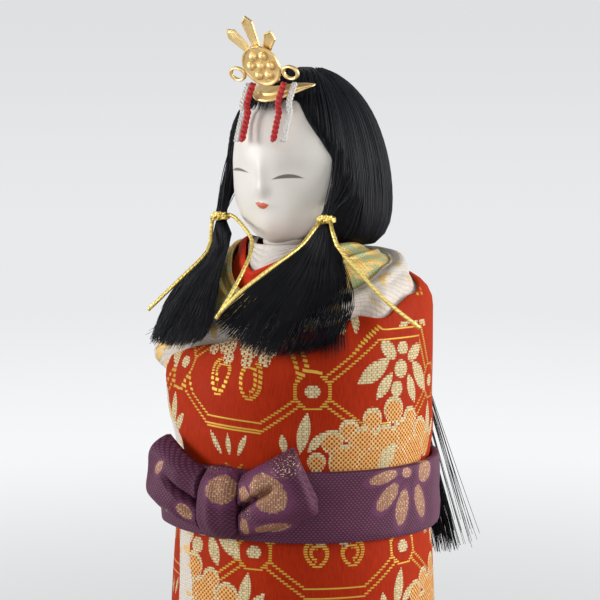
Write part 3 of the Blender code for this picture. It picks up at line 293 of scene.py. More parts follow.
@dataclass(frozen=True)
class Figure:
    """Sizes of the wooden body, which every layer of cloth follows."""

    half_width: float = 0.0311
    half_depth: float = 0.0283
    shoulder: float = 0.1315
    shoulder_round: float = 0.0045
    shoulder_swell: float = 0.0026
    chest_swell: float = 0.0006
    neck_radius: float = 0.0100
    neck: float = 0.1392
    neck_drop: float = 0.0050
    neck_top: float = 0.1405
    neck_forward: float = 0.0040
    hem_flare: float = 0.0024
    hem_flare_height: float = 0.0850
    waist_pinch: float = 0.0010
    sash_low: float = 0.0710
    sash_high: float = 0.0886
    shoulder_shares: Table = (
        (-180, 1.0), (-92, 1.0), (-72, 0.93), (-50, 0.85), (-28, 0.84), (0, 0.845),
        (20, 0.86), (38, 0.885), (55, 0.93), (75, 0.98), (95, 1.0), (180, 1.0))

    @property
    def sash_middle(self) -> float:
        """Height of the sash's middle."""
        return (self.sash_low + self.sash_high) / 2

    @property
    def sash_half(self) -> float:
        """Half of the sash's height."""
        return (self.sash_high - self.sash_low) / 2

    def angle_of(self, place: Vector) -> float:
        """Angle round the body's oval at which a place lies."""
        return math.degrees(math.atan2(place.x / self.half_width, -place.y / self.half_depth))

    def reach(self, angle: float) -> tuple[Vector, Vector]:
        """Point of the body's oval at an angle, and the outward direction there."""
        turn = math.radians(angle)
        point = Vector((self.half_width * math.sin(turn), -self.half_depth * math.cos(turn), 0))
        outward = Vector((math.sin(turn) / self.half_width,
                          -math.cos(turn) / self.half_depth, 0))
        return point, outward.normalized()

    def frontness(self, angle: float) -> float:
        """How far an angle looks forward, 1 at the front."""
        return smooth(1.0 - abs(angle) / 100.0)

    def neck_height(self, angle: float) -> float:
        """Height of the neck opening's rim."""
        return self.neck - self.neck_drop * self.frontness(angle)

    @lru_cache(maxsize=4096)
    def shoulder_line(self, angle: float) -> tuple[float, float]:
        """Height where the body leaves the upright, and its slope up to the neck."""
        point, _ = self.reach(angle)
        level = self.shoulder * read_table(self.shoulder_shares, angle) - self.shoulder_round
        inward = point.length - self.neck_radius
        slope = math.radians(30)
        for _ in range(6):
            turned = math.pi / 2 - slope
            start_in = self.shoulder_round * (1 - math.cos(turned))
            start_up = self.shoulder_round * math.sin(turned)
            slope = math.atan2(self.neck_height(angle) - level - start_up, inward - start_in)
        return level, slope

    def slope_length(self, angle: float) -> float:
        """Straight run from the shoulder's rounding up to the neck."""
        level, slope = self.shoulder_line(angle)
        start = level + self.shoulder_round * math.cos(slope)
        return (self.neck_height(angle) - start) / math.sin(slope)

    def outline(self, angle: float, run: float) -> tuple[float, float, float]:
        """Inset, height and tilt of the body's outline at a run up from the floor."""
        level, slope = self.shoulder_line(angle)
        if run <= level:
            return 0.0, run, 0.0
        turned = math.pi / 2 - slope
        arc = self.shoulder_round * turned
        if run <= level + arc:
            turn = (run - level) / self.shoulder_round
            inset = self.shoulder_round * (1 - math.cos(turn))
            return inset, level + self.shoulder_round * math.sin(turn), turn
        beyond = run - level - arc
        swell = mix(self.shoulder_swell, self.chest_swell, self.frontness(angle))
        swell *= math.sin(math.pi * min(beyond / self.slope_length(angle), 1.0))
        inset = self.shoulder_round * (1 - math.cos(turned)) + beyond * math.cos(slope)
        height = level + self.shoulder_round * math.sin(turned) + beyond * math.sin(slope)
        return inset - swell * math.sin(slope), height + swell * math.cos(slope), turned

    @lru_cache(maxsize=4096)
    def neck_run(self, angle: float) -> float:
        """Run up the outline at the neck."""
        level, slope = self.shoulder_line(angle)
        return level + self.shoulder_round * (math.pi / 2 - slope) + self.slope_length(angle)

    @lru_cache(maxsize=200000)
    def run_at(self, angle: float, height: float) -> float:
        """How far up the outline a height lies, found by halving."""
        low = 0.0
        high = self.neck_run(angle) + self.shoulder
        for _ in range(26):
            middle = (low + high) / 2
            if self.outline(angle, middle)[1] < height:
                low = middle
            else:
                high = middle
        return (low + high) / 2

    def swell(self, height: float) -> float:
        """The hem spreads a little and the sash draws the robes in."""
        pinch = self.waist_pinch * hump(height, self.sash_middle, 2 * self.sash_half)
        return self.hem_flare * smooth(1 - height / self.hem_flare_height) - pinch

    def point(self, angle: float, run: float, offset: float) -> Vector:
        """Point at an angle and a run up the outline, offset outward."""
        base, outward = self.reach(angle)
        inset, height, tilt = self.outline(angle, run)
        inward = base.length - self.neck_radius
        place = base * (1 - inset / base.length)
        place.y -= self.neck_forward * inset / inward
        place += outward * (offset * math.cos(tilt) + self.swell(height))
        place.z = height + offset * math.sin(tilt)
        return place


FIGURE = Figure()


@dataclass(frozen=True)
class Winding:
    """How the cream and the red robe are wound once round and lapped at the front."""

    under_cloth: float = 0.0008
    robe_cloth: float = 0.0010
    hem_lift: float = 0.0006
    lap_start: float = 36.0
    even_until: float = -336.0
    even_share: float = 0.80
    cream_shows: float = 14.0
    loose_edge: float = 0.0012
    loose_height: float = 0.1080
    edge_shares: Table = (
        (0.0, -9.0), (0.41, -17.0), (0.53, -20.0), (0.70, -25.0), (0.78, -39.0),
        (0.88, -53.0), (1.2, -58.0))
    top_shares: Table = (
        (-60, 0.828), (-48, 0.845), (-28, 0.868), (-6, 0.886), (18, 0.900), (38, 0.908),
        (53, 0.922), (68, 0.944), (88, 0.978), (112, 0.996), (150, 1.006), (185, 1.010))

    def lift(self) -> float:
        """How much farther out the cloth lies after one turn."""
        return self.under_cloth + self.robe_cloth + SEAM_GAP + SEAM_GAP

    def cream_inner(self, unwound: float, height: float) -> float:
        """Inner face of the cream robe at an unwound angle."""
        wound = SEAM_GAP + self.lift() * (self.lap_start - unwound) / 360.0
        nearness = smooth((-unwound - 385.0) / 40.0)
        return wound + self.loose_edge * nearness * smooth(height / self.loose_height * 3.0 - 2.0)

    def red_inner(self, unwound: float, height: float) -> float:
        """Inner face of the red robe at an unwound angle."""
        return self.cream_inner(unwound, height) + self.under_cloth + SEAM_GAP

    def edge(self, height: float) -> float:
        """Unwound angle of the red robe's front edge."""
        return read_table(self.edge_shares, height / FIGURE.shoulder) - 360.0

    def top_height(self, unwound: float) -> float:
        """Height of the red robe's collar edge; the lower lap mirrors the upper."""
        angle = -unwound if unwound > -180.0 else unwound + 360.0
        return FIGURE.shoulder * read_table(self.top_shares, angle, ease=False)

    def column(self, share: float, height: float, shown: float) -> float:
        """Unwound angle of a column: even turns first, then along the front edge."""
        if share <= self.even_share:
            return mix(self.lap_start, self.even_until, share / self.even_share)
        return mix(self.even_until, self.edge(height) - shown,
                   (share - self.even_share) / (1 - self.even_share))


WINDING = Winding()


def body_angle(unwound: float) -> float:
    """Angle round the body of an unwound angle."""
    return (unwound + 180.0) % 360.0 - 180.0


# Meshes

def deselect_all() -> None:
    """Leave nothing selected, so that an operator acts on what it is given."""
    if bpy.context.object and bpy.context.object.mode != "OBJECT":
        bpy.ops.object.mode_set(mode="OBJECT")
    bpy.ops.object.select_all(action="DESELECT")


def select_only(made: bpy.types.Object) -> None:
    """Select one object and make it the active one."""
    deselect_all()
    made.select_set(True)
    bpy.context.view_layer.objects.active = made


def settle(made: bpy.types.Object, modifiers: bool = True) -> bpy.types.Object:
    """Apply an object's modifiers and its place, so that it sits at the origin.

    Args:
        made: the object to settle.
        modifiers: whether its modifiers are applied as well.

    Returns:
        The same object.
    """
    select_only(made)
    if modifiers:
        for step in list(made.modifiers):
            bpy.ops.object.modifier_apply(modifier=step.name)
    bpy.ops.object.transform_apply(location=True, rotation=True, scale=True)
    return made


@contextmanager
def editing(made: bpy.types.Object) -> Iterator[bmesh.types.BMesh]:
    """Open an object's mesh for edits, then write it back with smooth faces."""
    form = bmesh.new()
    form.from_mesh(made.data)
    yield form
    form.to_mesh(made.data)
    form.free()
    made.data.shade_smooth()


def close_up(form: bmesh.types.BMesh) -> None:
    """Fill the open rims of a mesh."""
    bmesh.ops.holes_fill(form, edges=[edge for edge in form.edges if edge.is_boundary])
    bmesh.ops.triangulate(form, faces=[face for face in form.faces if len(face.verts) > 4])


def grid_piece(name: str, columns: int, rows: int, place: Callable[[float, float], Vector],
               weave: Callable[[float, float], tuple[float, float]], ring: bool = False,
               inside: Vector | None = None) -> bpy.types.Object:
    """Lay a grid over a surface, point by point.

    Args:
        name: the piece's name.
        columns: cells across.
        rows: cells up.
        place: the surface, from two shares of 0 to 1 to a point.
        weave: where the cloth's pattern is, in millimetres, from the same shares.
        ring: whether the last column meets the first.
        inside: a point behind the cloth, to turn the faces from.

    Returns:
        The new object, open at its rims.
    """
    deselect_all()
    bpy.ops.mesh.primitive_grid_add(x_subdivisions=columns, y_subdivisions=rows, size=2,
                                    calc_uvs=True)
    made = bpy.context.object
    made.name = name
    made.data.name = name
    shares = {}
    for vertex in made.data.vertices:
        shares[vertex.index] = ((vertex.co.x + 1) / 2, (vertex.co.y + 1) / 2)
    cloth = made.data.uv_layers.active.data
    for loop in made.data.loops:
        cloth[loop.index].uv = weave(*shares[loop.vertex_index])
    for vertex in made.data.vertices:
        vertex.co = place(*shares[vertex.index])
    with editing(made) as form:
        if ring:
            bmesh.ops.remove_doubles(form, verts=form.verts, dist=MERGE)
        outward = 0.0
        for face in form.faces:
            middle = face.calc_center_median()
            centre = inside or Vector((0, 0, middle.z))
            outward += face.normal.dot(middle - centre) * face.calc_area()
        if outward < 0:
            bmesh.ops.reverse_faces(form, faces=form.faces)
    return made


def thicken(made: bpy.types.Object, thickness: float, rounding: float = 0.0) -> None:
    """Give an open cloth its thickness, inwards, and round its cut edge.

    Args:
        made: the open surface.
        thickness: of the cloth.
        rounding: how far its folded rim is rounded, or none.
    """
    shell = made.modifiers.new("cloth", "SOLIDIFY")
    shell.thickness = thickness
    shell.offset = -1.0
    shell.use_even_offset = True
    if rounding:
        edge = made.modifiers.new("fold", "BEVEL")
        edge.width = rounding
        edge.segments = 3
        edge.limit_method = "ANGLE"
        edge.angle_limit = math.radians(60)
    settle(made)
    made.data.shade_smooth()


def eased_route(route: Sequence[Vector], spacing: float) -> list[Vector]:
    """Points along a smooth curve through a route's own points.

    Args:
        route: the points to pass through.
        spacing: about how far apart the new points are.

    Returns:
        The points of the curve.
    """
    ends = [2 * route[0] - route[1]] + list(route) + [2 * route[-1] - route[-2]]
    points = []
    for before, start, stop, after in zip(ends, ends[1:], ends[2:], ends[3:]):
        count = max(2, int((stop - start).length / spacing))
        for step in range(count):
            t = step / count
            points.append(0.5 * (2 * start + (stop - before) * t
                                 + (2 * before - 5 * start + 4 * stop - after) * t * t
                                 + (3 * start - before - 3 * stop + after) * t ** 3))
    points.append(route[-1].copy())
    return points


@dataclass
class Bundle:
    """Tubes along paths, gathered in one mesh: cords, braid plies or strands of hair."""

    name: str
    sides: int = 3
    points: list[Vector] = field(default_factory=list)
    faces: list[tuple[int, ...]] = field(default_factory=list)
    weaves: list[tuple[float, float]] = field(default_factory=list)

    def add(self, path: Sequence[Vector], radius: Callable[[float], float], shade: float = 0.0,
            flat: float = 1.0, side: Vector | None = None) -> None:
        """Add one tube.

        Args:
            path: the points that it follows.
            radius: its radius at each share of its length.
            shade: a number between 0 and 1 that tells it from its neighbours.
            flat: how thick it is against its width.
            side: the way its width lies, or free.
        """
        start = len(self.points)
        count = len(path)
        length = 0.0
        lateral = side
        for step, point in enumerate(path):
            ahead = path[min(step + 1, count - 1)] - path[max(step - 1, 0)]
            if ahead.length < 1e-9:
                ahead = Vector((0, 0, -1))
            ahead.normalize()
            if step:
                length += (point - path[step - 1]).length
            if lateral is None:
                lateral = ahead.orthogonal()
            across = lateral - ahead * lateral.dot(ahead)
            across.normalize()
            lateral = across
            up = ahead.cross(across)
            size = radius(step / (count - 1))
            for turn_step in range(self.sides):
                turn = math.tau * turn_step / self.sides
                self.points.append(point + across * size * math.cos(turn)
                                   + up * size * flat * math.sin(turn))
                self.weaves.append((length / MM, shade + turn_step / self.sides))
        for step in range(count - 1):
            for turn_step in range(self.sides):
                near = start + step * self.sides + turn_step
                far = start + step * self.sides + (turn_step + 1) % self.sides
                self.faces.append((near, far, far + self.sides, near + self.sides))
        last = start + (count - 1) * self.sides
        self.faces.append(tuple(start + step for step in reversed(range(self.sides))))
        self.faces.append(tuple(last + step for step in range(self.sides)))

    def build(self) -> bpy.types.Object:
        """Make the mesh and its object."""
        mesh = bpy.data.meshes.new(self.name)
        mesh.from_pydata([tuple(point) for point in self.points], [], self.faces)
        cloth = mesh.uv_layers.new(name="UVMap").data
        for loop in mesh.loops:
            cloth[loop.index].uv = self.weaves[loop.vertex_index]
        mesh.update()
        made = bpy.data.objects.new(self.name, mesh)
        bpy.context.scene.collection.objects.link(made)
        mesh.shade_smooth()
        return made


def dress(made: bpy.types.Object, finish: "Finish", body: str, *nodes: str) -> bpy.types.Object:
    """Give a piece its finish and its place on the doll.

    Args:
        made: the piece.
        finish: what it is finished in.
        body: the moving body it rides on.
        nodes: the solids that it stands for.

    Returns:
        The same piece.
    """
    made.data.materials.clear()
    made.data.materials.append(finish.material())
    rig.ride(made, body)
    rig.slot(made, finish.slot)
    if nodes:
        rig.replaces(made, *nodes)
    return made


# Patterns, written as sums of fields over a surface

@dataclass(frozen=True)
class Field:
    """A number or place that changes over a surface, made by a shader node."""

    tree: bpy.types.NodeTree
    socket: bpy.types.NodeSocket

    def node(self, kind: str, *values: "Field | float | Colour", **settings: str) -> "Field":
        """Add a node fed by fields and numbers.

        Args:
            kind: the node's type.
            values: what goes into its inputs, in order.
            settings: its options.

        Returns:
            Its first output.
        """
        made = self.tree.nodes.new(kind)
        for key, value in settings.items():
            setattr(made, key, value)
        for slot, value in zip(made.inputs, values):
            if isinstance(value, Field):
                self.tree.links.new(value.socket, slot)
            else:
                slot.default_value = value
        return Field(self.tree, made.outputs[0])

    def maths(self, operation: str, *others: "Field | float") -> "Field":
        """One step of arithmetic on this field."""
        return self.node("ShaderNodeMath", self, *others, operation=operation)

    def __add__(self, other: "Field | float") -> "Field":
        return self.maths("ADD", other)

    def __sub__(self, other: "Field | float") -> "Field":
        return self.maths("SUBTRACT", other)

    def __rsub__(self, other: float) -> "Field":
        return self.node("ShaderNodeMath", other, self, operation="SUBTRACT")

    def __mul__(self, other: "Field | float") -> "Field":
        return self.maths("MULTIPLY", other)

    def __truediv__(self, other: "Field | float") -> "Field":
        return self.maths("DIVIDE", other)

    def __gt__(self, other: "Field | float") -> "Field":
        return self.maths("GREATER_THAN", other)

    def __lt__(self, other: "Field | float") -> "Field":
        return self.maths("LESS_THAN", other)

    def __abs__(self) -> "Field":
        return self.maths("ABSOLUTE")

    def most(self, other: "Field | float") -> "Field":
        """The larger of two."""
        return self.maths("MAXIMUM", other)

    def least(self, other: "Field | float") -> "Field":
        """The smaller of two."""
        return self.maths("MINIMUM", other)

    def wrap(self, low: float, high: float) -> "Field":
        """The same pattern over and over between two values."""
        return self.maths("WRAP", high, low)

    def fraction(self) -> "Field":
        """What lies past the last whole number."""
        return self.maths("FRACT")

    def part(self, name: str) -> "Field":
        """One coordinate of a place."""
        for link in self.socket.links:
            if link.to_node.bl_idname == "ShaderNodeSeparateXYZ":
                return Field(self.tree, link.to_node.outputs[name])
        made = self.tree.nodes.new("ShaderNodeSeparateXYZ")
        self.tree.links.new(self.socket, made.inputs[0])
        return Field(self.tree, made.outputs[name])

    def near(self, x: float, y: float, radius: float) -> "Field":
        """How far inside a disc this place is."""
        made = self.tree.nodes.new("ShaderNodeVectorMath")
        made.operation = "DISTANCE"
        self.tree.links.new(self.socket, made.inputs[0])
        made.inputs[1].default_value = (x, y, 0)
        return radius - Field(self.tree, made.outputs["Value"])

    def heap(self, discs: Sequence[tuple[float, float, float]]) -> "Field":
        """How far inside the topmost of a heap of discs this place is."""
        depth = self.near(*discs[0])
        for disc in discs[1:]:
            inside = self.near(*disc)
            depth = (inside * 50.0).blend(depth, inside)
        return depth

    def cloud(self, discs: Sequence[tuple[float, float, float]]) -> "Field":
        """How far inside any of several discs this place is."""
        depth = self.near(*discs[0])
        for disc in discs[1:]:
            depth = depth.most(self.near(*disc))
        return depth

    def moved(self, x: float, y: float, turn: float, wide: float, tall: float) -> "Field":
        """This place as seen from a shape of its own centre, turn and half sizes."""
        made = self.tree.nodes.new("ShaderNodeMapping")
        made.vector_type = "TEXTURE"
        self.tree.links.new(self.socket, made.inputs["Vector"])
        made.inputs["Location"].default_value = (x, y, 0)
        made.inputs["Rotation"].default_value = (0, 0, turn)
        made.inputs["Scale"].default_value = (wide, tall, 1)
        return Field(self.tree, made.outputs[0])

    def length(self) -> "Field":
        """How far this place is from its centre."""
        made = self.tree.nodes.new("ShaderNodeVectorMath")
        made.operation = "LENGTH"
        self.tree.links.new(self.socket, made.inputs[0])
        return Field(self.tree, made.outputs["Value"])

    def oval(self, x: float, y: float, wide: float, tall: float, turn: float = 0.0) -> "Field":
        """How far inside an oval this place is, 1 at its middle."""
        return 1.0 - self.moved(x, y, turn, wide, tall).length()

    def leaf(self, base: tuple[float, float], tip: tuple[float, float],
             half_width: float) -> "Field":
        """How far inside a leaf, pointed at both ends, this place is."""
        x, y = (base[0] + tip[0]) / 2, (base[1] + tip[1]) / 2
        run, rise = tip[0] - base[0], tip[1] - base[1]
        seen = self.moved(x, y, math.atan2(rise, run), math.hypot(run, rise) / 2, half_width)
        ends = seen.part("X")
        return 1.0 - ends * ends - abs(seen.part("Y"))

    def band(self, edge: float, soft: float) -> "Field":
        """0 below an edge, 1 above it, soft in between."""
        made = self.tree.nodes.new("ShaderNodeMapRange")
        made.interpolation_type = "SMOOTHSTEP"
        self.tree.links.new(self.socket, made.inputs["Value"])
        made.inputs["From Min"].default_value = edge - soft
        made.inputs["From Max"].default_value = edge + soft
        return Field(self.tree, made.outputs[0])

    def blend(self, first: "Field | Colour | float", second: "Field | Colour | float") -> "Field":
        """Mix two colours or numbers by this field."""
        made = self.tree.nodes.new("ShaderNodeMix")
        numbers = isinstance(first, (int, float)) or (
            isinstance(first, Field) and first.socket.type == "VALUE")
        made.data_type = "FLOAT" if numbers else "RGBA"
        slots = [one for one in made.inputs if one.type == ("VALUE" if numbers else "RGBA")]
        slots = slots[-2:]
        self.tree.links.new(self.socket, made.inputs[0])
        for slot, value in zip(slots, (first, second)):
            if isinstance(value, Field):
                self.tree.links.new(value.socket, slot)
            else:
                slot.default_value = value if numbers else (*value, 1.0)
        kind = "VALUE" if numbers else "RGBA"
        return Field(self.tree, next(one for one in made.outputs if one.type == kind))

    def noise(self, scale: Colour, detail: float = 2.0, rough: float = 0.5) -> "Field":
        """Cloudy field over this place, stretched by a scale on each axis."""
        seen = self.tree.nodes.new("ShaderNodeMapping")
        self.tree.links.new(self.socket, seen.inputs["Vector"])
        seen.inputs["Scale"].default_value = scale
        made = self.tree.nodes.new("ShaderNodeTexNoise")
        self.tree.links.new(seen.outputs[0], made.inputs["Vector"])
        made.inputs["Scale"].default_value = 1.0
        made.inputs["Detail"].default_value = detail
        made.inputs["Roughness"].default_value = rough
        return Field(self.tree, made.outputs[0])


def place_field(tree: bpy.types.NodeTree, x: Field, y: Field) -> Field:
    """Join two numbers into a place on the cloth."""
    made = tree.nodes.new("ShaderNodeCombineXYZ")
    tree.links.new(x.socket, made.inputs[0])
    tree.links.new(y.socket, made.inputs[1])
    return Field(tree, made.outputs[0])


@dataclass(frozen=True)
class Finish:
    """A finish of the doll: its name, the record's slot, and its plain values."""

    name: str
    slot: str
    roughness: float = 0.6
    metallic: float = 0.0
    sheen: float = 0.0
    sheen_tint: Colour = (1.0, 1.0, 1.0)
    specular: float = 0.5
    bump: float = 0.5
    bump_depth: float = 0.0002

    def coordinates(self, tree: bpy.types.NodeTree) -> Field:
        """Where on the piece's own pattern a point lies."""
        return Field(tree, tree.nodes.new("ShaderNodeTexCoord").outputs["UV"])

    def solid_place(self, tree: bpy.types.NodeTree) -> Field:
        """Where in the doll a point lies, in millimetres."""
        made = tree.nodes.new("ShaderNodeVectorMath")
        made.operation = "SCALE"
        tree.links.new(tree.nodes.new("ShaderNodeTexCoord").outputs["Object"], made.inputs[0])
        made.inputs["Scale"].default_value = 1 / MM
        return Field(tree, made.outputs[0])

    def pattern(self, tree: bpy.types.NodeTree) -> dict[str, Field]:
        """Fields for the shader's sockets, by socket name, with Height for its relief."""
        raise NotImplementedError

    def material(self) -> bpy.types.Material:
        """Make the material once, and return it."""
        known = bpy.data.materials.get(self.name)
        if known:
            return known
        made = bpy.data.materials.new(self.name)
        made.use_nodes = True
        tree = made.node_tree
        shader = tree.nodes["Principled BSDF"]
        shader.inputs["Roughness"].default_value = self.roughness
        shader.inputs["Metallic"].default_value = self.metallic
        shader.inputs["Sheen Weight"].default_value = self.sheen
        shader.inputs["Sheen Tint"].default_value = (*self.sheen_tint, 1)
        shader.inputs["Specular IOR Level"].default_value = self.specular
        fields = self.pattern(tree)
        height = fields.pop("Height", None)
        for name, value in fields.items():
            tree.links.new(value.socket, shader.inputs[name])
        if height:
            relief = tree.nodes.new("ShaderNodeBump")
            relief.inputs["Strength"].default_value = self.bump
            relief.inputs["Distance"].default_value = self.bump_depth
            tree.links.new(height.socket, relief.inputs["Height"])
            tree.links.new(relief.outputs[0], shader.inputs["Normal"])
        return made


def shared_group(name: str, inputs: dict[str, tuple[str, object]], outputs: dict[str, str],
                 build: Callable[[bpy.types.NodeTree, dict[str, Field]], dict[str, Field]]
                 ) -> bpy.types.NodeTree:
    """Make a node group once.

    Args:
        name: the group's name.
        inputs: the type and the usual value of each input.
        outputs: the type of each output.
        build: makes the outputs' fields from the inputs' fields.

    Returns:
        The group.
    """
    known = bpy.data.node_groups.get(name)
    if known:
        return known
    tree = bpy.data.node_groups.new(name, "ShaderNodeTree")
    for key, (kind, value) in inputs.items():
        made = tree.interface.new_socket(key, in_out="INPUT", socket_type=kind)
        if value is not None:
            made.default_value = value
    for key, kind in outputs.items():
        tree.interface.new_socket(key, in_out="OUTPUT", socket_type=kind)
    start = tree.nodes.new("NodeGroupInput")
    end = tree.nodes.new("NodeGroupOutput")
    given = {key: Field(tree, start.outputs[key]) for key in inputs}
    for key, value in build(tree, given).items():
        tree.links.new(value.socket, end.inputs[key])
    return tree


def use_group(tree: bpy.types.NodeTree, group: bpy.types.NodeTree, **values: Field | float
              ) -> dict[str, Field]:
    """Place a shared group in a material.

    Args:
        tree: the material's nodes.
        group: the shared group.
        values: what goes into its inputs, by name.

    Returns:
        Its outputs as fields, by name.
    """
    made = tree.nodes.new("ShaderNodeGroup")
    made.node_tree = group
    for key, value in values.items():
        if isinstance(value, Field):
            tree.links.new(value.socket, made.inputs[key])
        else:
            made.inputs[key].default_value = value
    return {slot.name: Field(tree, slot) for slot in made.outputs}


def weft_rows() -> bpy.types.NodeTree:
    """Shared group: rows of floating weft, each a rounded thread as long as a float."""

    def build(tree: bpy.types.NodeTree, given: dict[str, Field]) -> dict[str, Field]:
        """Snap the place to the middle of its row, and round each float."""
        across = given["Place"].part("X")
        level = given["Place"].part("Y") / given["Pitch"]
        row = level.maths("FLOOR")
        inside = level.fraction() * 2.0 - 1.0
        round_row = 1.0 - inside * inside
        float_at = across / given["Float"] + row * 0.5
        along = abs(float_at.fraction() - 0.5) * 2.0
        ends = 1.0 - along.maths("POWER", 8.0)
        snapped = place_field(tree, across, (row + 0.5) * given["Pitch"])
        rounded = round_row * ends
        return {"Snapped": snapped, "Row": row, "Inside": inside, "Along": along, "Round": rounded,
                "Thread": rounded.band(0.24, 0.20), "Line": round_row.band(0.62, 0.16)}

    numbers = ("Row", "Inside", "Along", "Round", "Thread", "Line")
    return shared_group("weft_rows",
                        {"Place": ("NodeSocketVector", None), "Pitch": ("NodeSocketFloat", 0.61),
                         "Float": ("NodeSocketFloat", 3.0)},
                        {"Snapped": "NodeSocketVector"}
                        | {name: "NodeSocketFloat" for name in numbers}, build)


def worn_tone() -> bpy.types.NodeTree:
    """Shared group: slow changes of tone from dye, handling and dust."""

    def build(tree: bpy.types.NodeTree, given: dict[str, Field]) -> dict[str, Field]:
        """Mix a broad and a fine cloud into one tone."""
        broad = given["Place"].noise((0.05, 0.05, 0.05), 3.0)
        fine = given["Place"].noise((0.9, 0.9, 0.9), 2.0)
        tone = 1.0 - (broad - 0.5) * given["Broad"] - (fine - 0.5) * given["Fine"]
        shade = tone.node("ShaderNodeCombineXYZ", tone, tone, tone)
        return {"Tone": tone, "Shade": shade}

    return shared_group("worn_tone",
                        {"Place": ("NodeSocketVector", None), "Broad": ("NodeSocketFloat", 0.4),
                         "Fine": ("NodeSocketFloat", 0.3)},
                        {"Tone": "NodeSocketFloat", "Shade": "NodeSocketVector"}, build)


def tinted(colour: Field, shade: Field) -> Field:
    """Multiply a colour by a grey."""
    made = colour.tree.nodes.new("ShaderNodeVectorMath")
    made.operation = "MULTIPLY"
    colour.tree.links.new(colour.socket, made.inputs[0])
    colour.tree.links.new(shade.socket, made.inputs[1])
    return Field(colour.tree, made.outputs[0])


# Shapes of the red brocade's repeat, in millimetres of cloth

@dataclass(frozen=True)
class RingBand:
    """Part of an oval line."""

    x: float
    y: float
    wide: float
    tall: float
    line: float

    def depth(self, here: Field) -> Field:
        """How far inside the line a place is."""
        return self.line - abs(here.moved(self.x, self.y, 0.0, self.wide, self.tall).length()
                               - 1.0)


FAN_FOOT = RingBand(0.0, -18.6, 2.3, 1.4, 0.16)
FAN_LEAVES = (((-1.0, -17.0), (-1.3, -12.0), 0.75), ((-3.2, -17.0), (-6.6, -12.0), 0.75),
              ((1.2, -17.0), (4.0, -11.7), 0.75))
SPRIG_LEAVES = (((-3.2, -15.5), (-1.2, -5.0), 1.6), ((-6.8, -15.5), (-7.6, -10.5), 1.0),
                ((-1.3, -15.0), (3.1, -9.9), 1.2))
PEONY = (
    (43.1, -5.4, 3.4), (36.3, -7.2, 2.9), (49.3, -7.9, 2.8), (29.8, -9.6, 2.8),
    (54.3, -11.6, 3.4), (25.3, -12.2, 2.9), (59.0, -15.4, 3.6), (21.5, -17.3, 2.4),
    (34.0, -13.5, 4.6), (46.5, -12.5, 4.8), (40.3, -13.0, 4.2), (29.0, -17.5, 4.6),
    (51.5, -18.0, 5.4), (37.0, -19.5, 5.2), (44.0, -20.0, 5.0))
HANGING_LEAVES = (
    ((29.6, 15.2), (28.2, 10.8), 0.9), ((33.8, 16.0), (31.8, 11.8), 0.9),
    ((44.2, 18.2), (51.4, 19.4), 0.8), ((52.0, 19.0), (56.6, 19.9), 0.8),
    ((52.0, 17.8), (57.6, 14.4), 1.0), ((51.2, 17.4), (44.6, 15.0), 1.0),
    ((51.7, 18.0), (51.9, 14.2), 0.8))
BLOSSOM = (
    (-3.5, 3.8, 1.8), (2.7, 3.5, 1.8), (8.0, 4.4, 1.8), (-9.9, 5.6, 1.8), (-7.0, 11.0, 2.4),
    (0.0, 12.2, 2.4), (7.0, 11.0, 2.4), (-5.0, 7.5, 3.2), (3.0, 7.8, 3.6), (9.0, 7.5, 2.6),
    (-10.0, 8.5, 2.2))


# Finishes

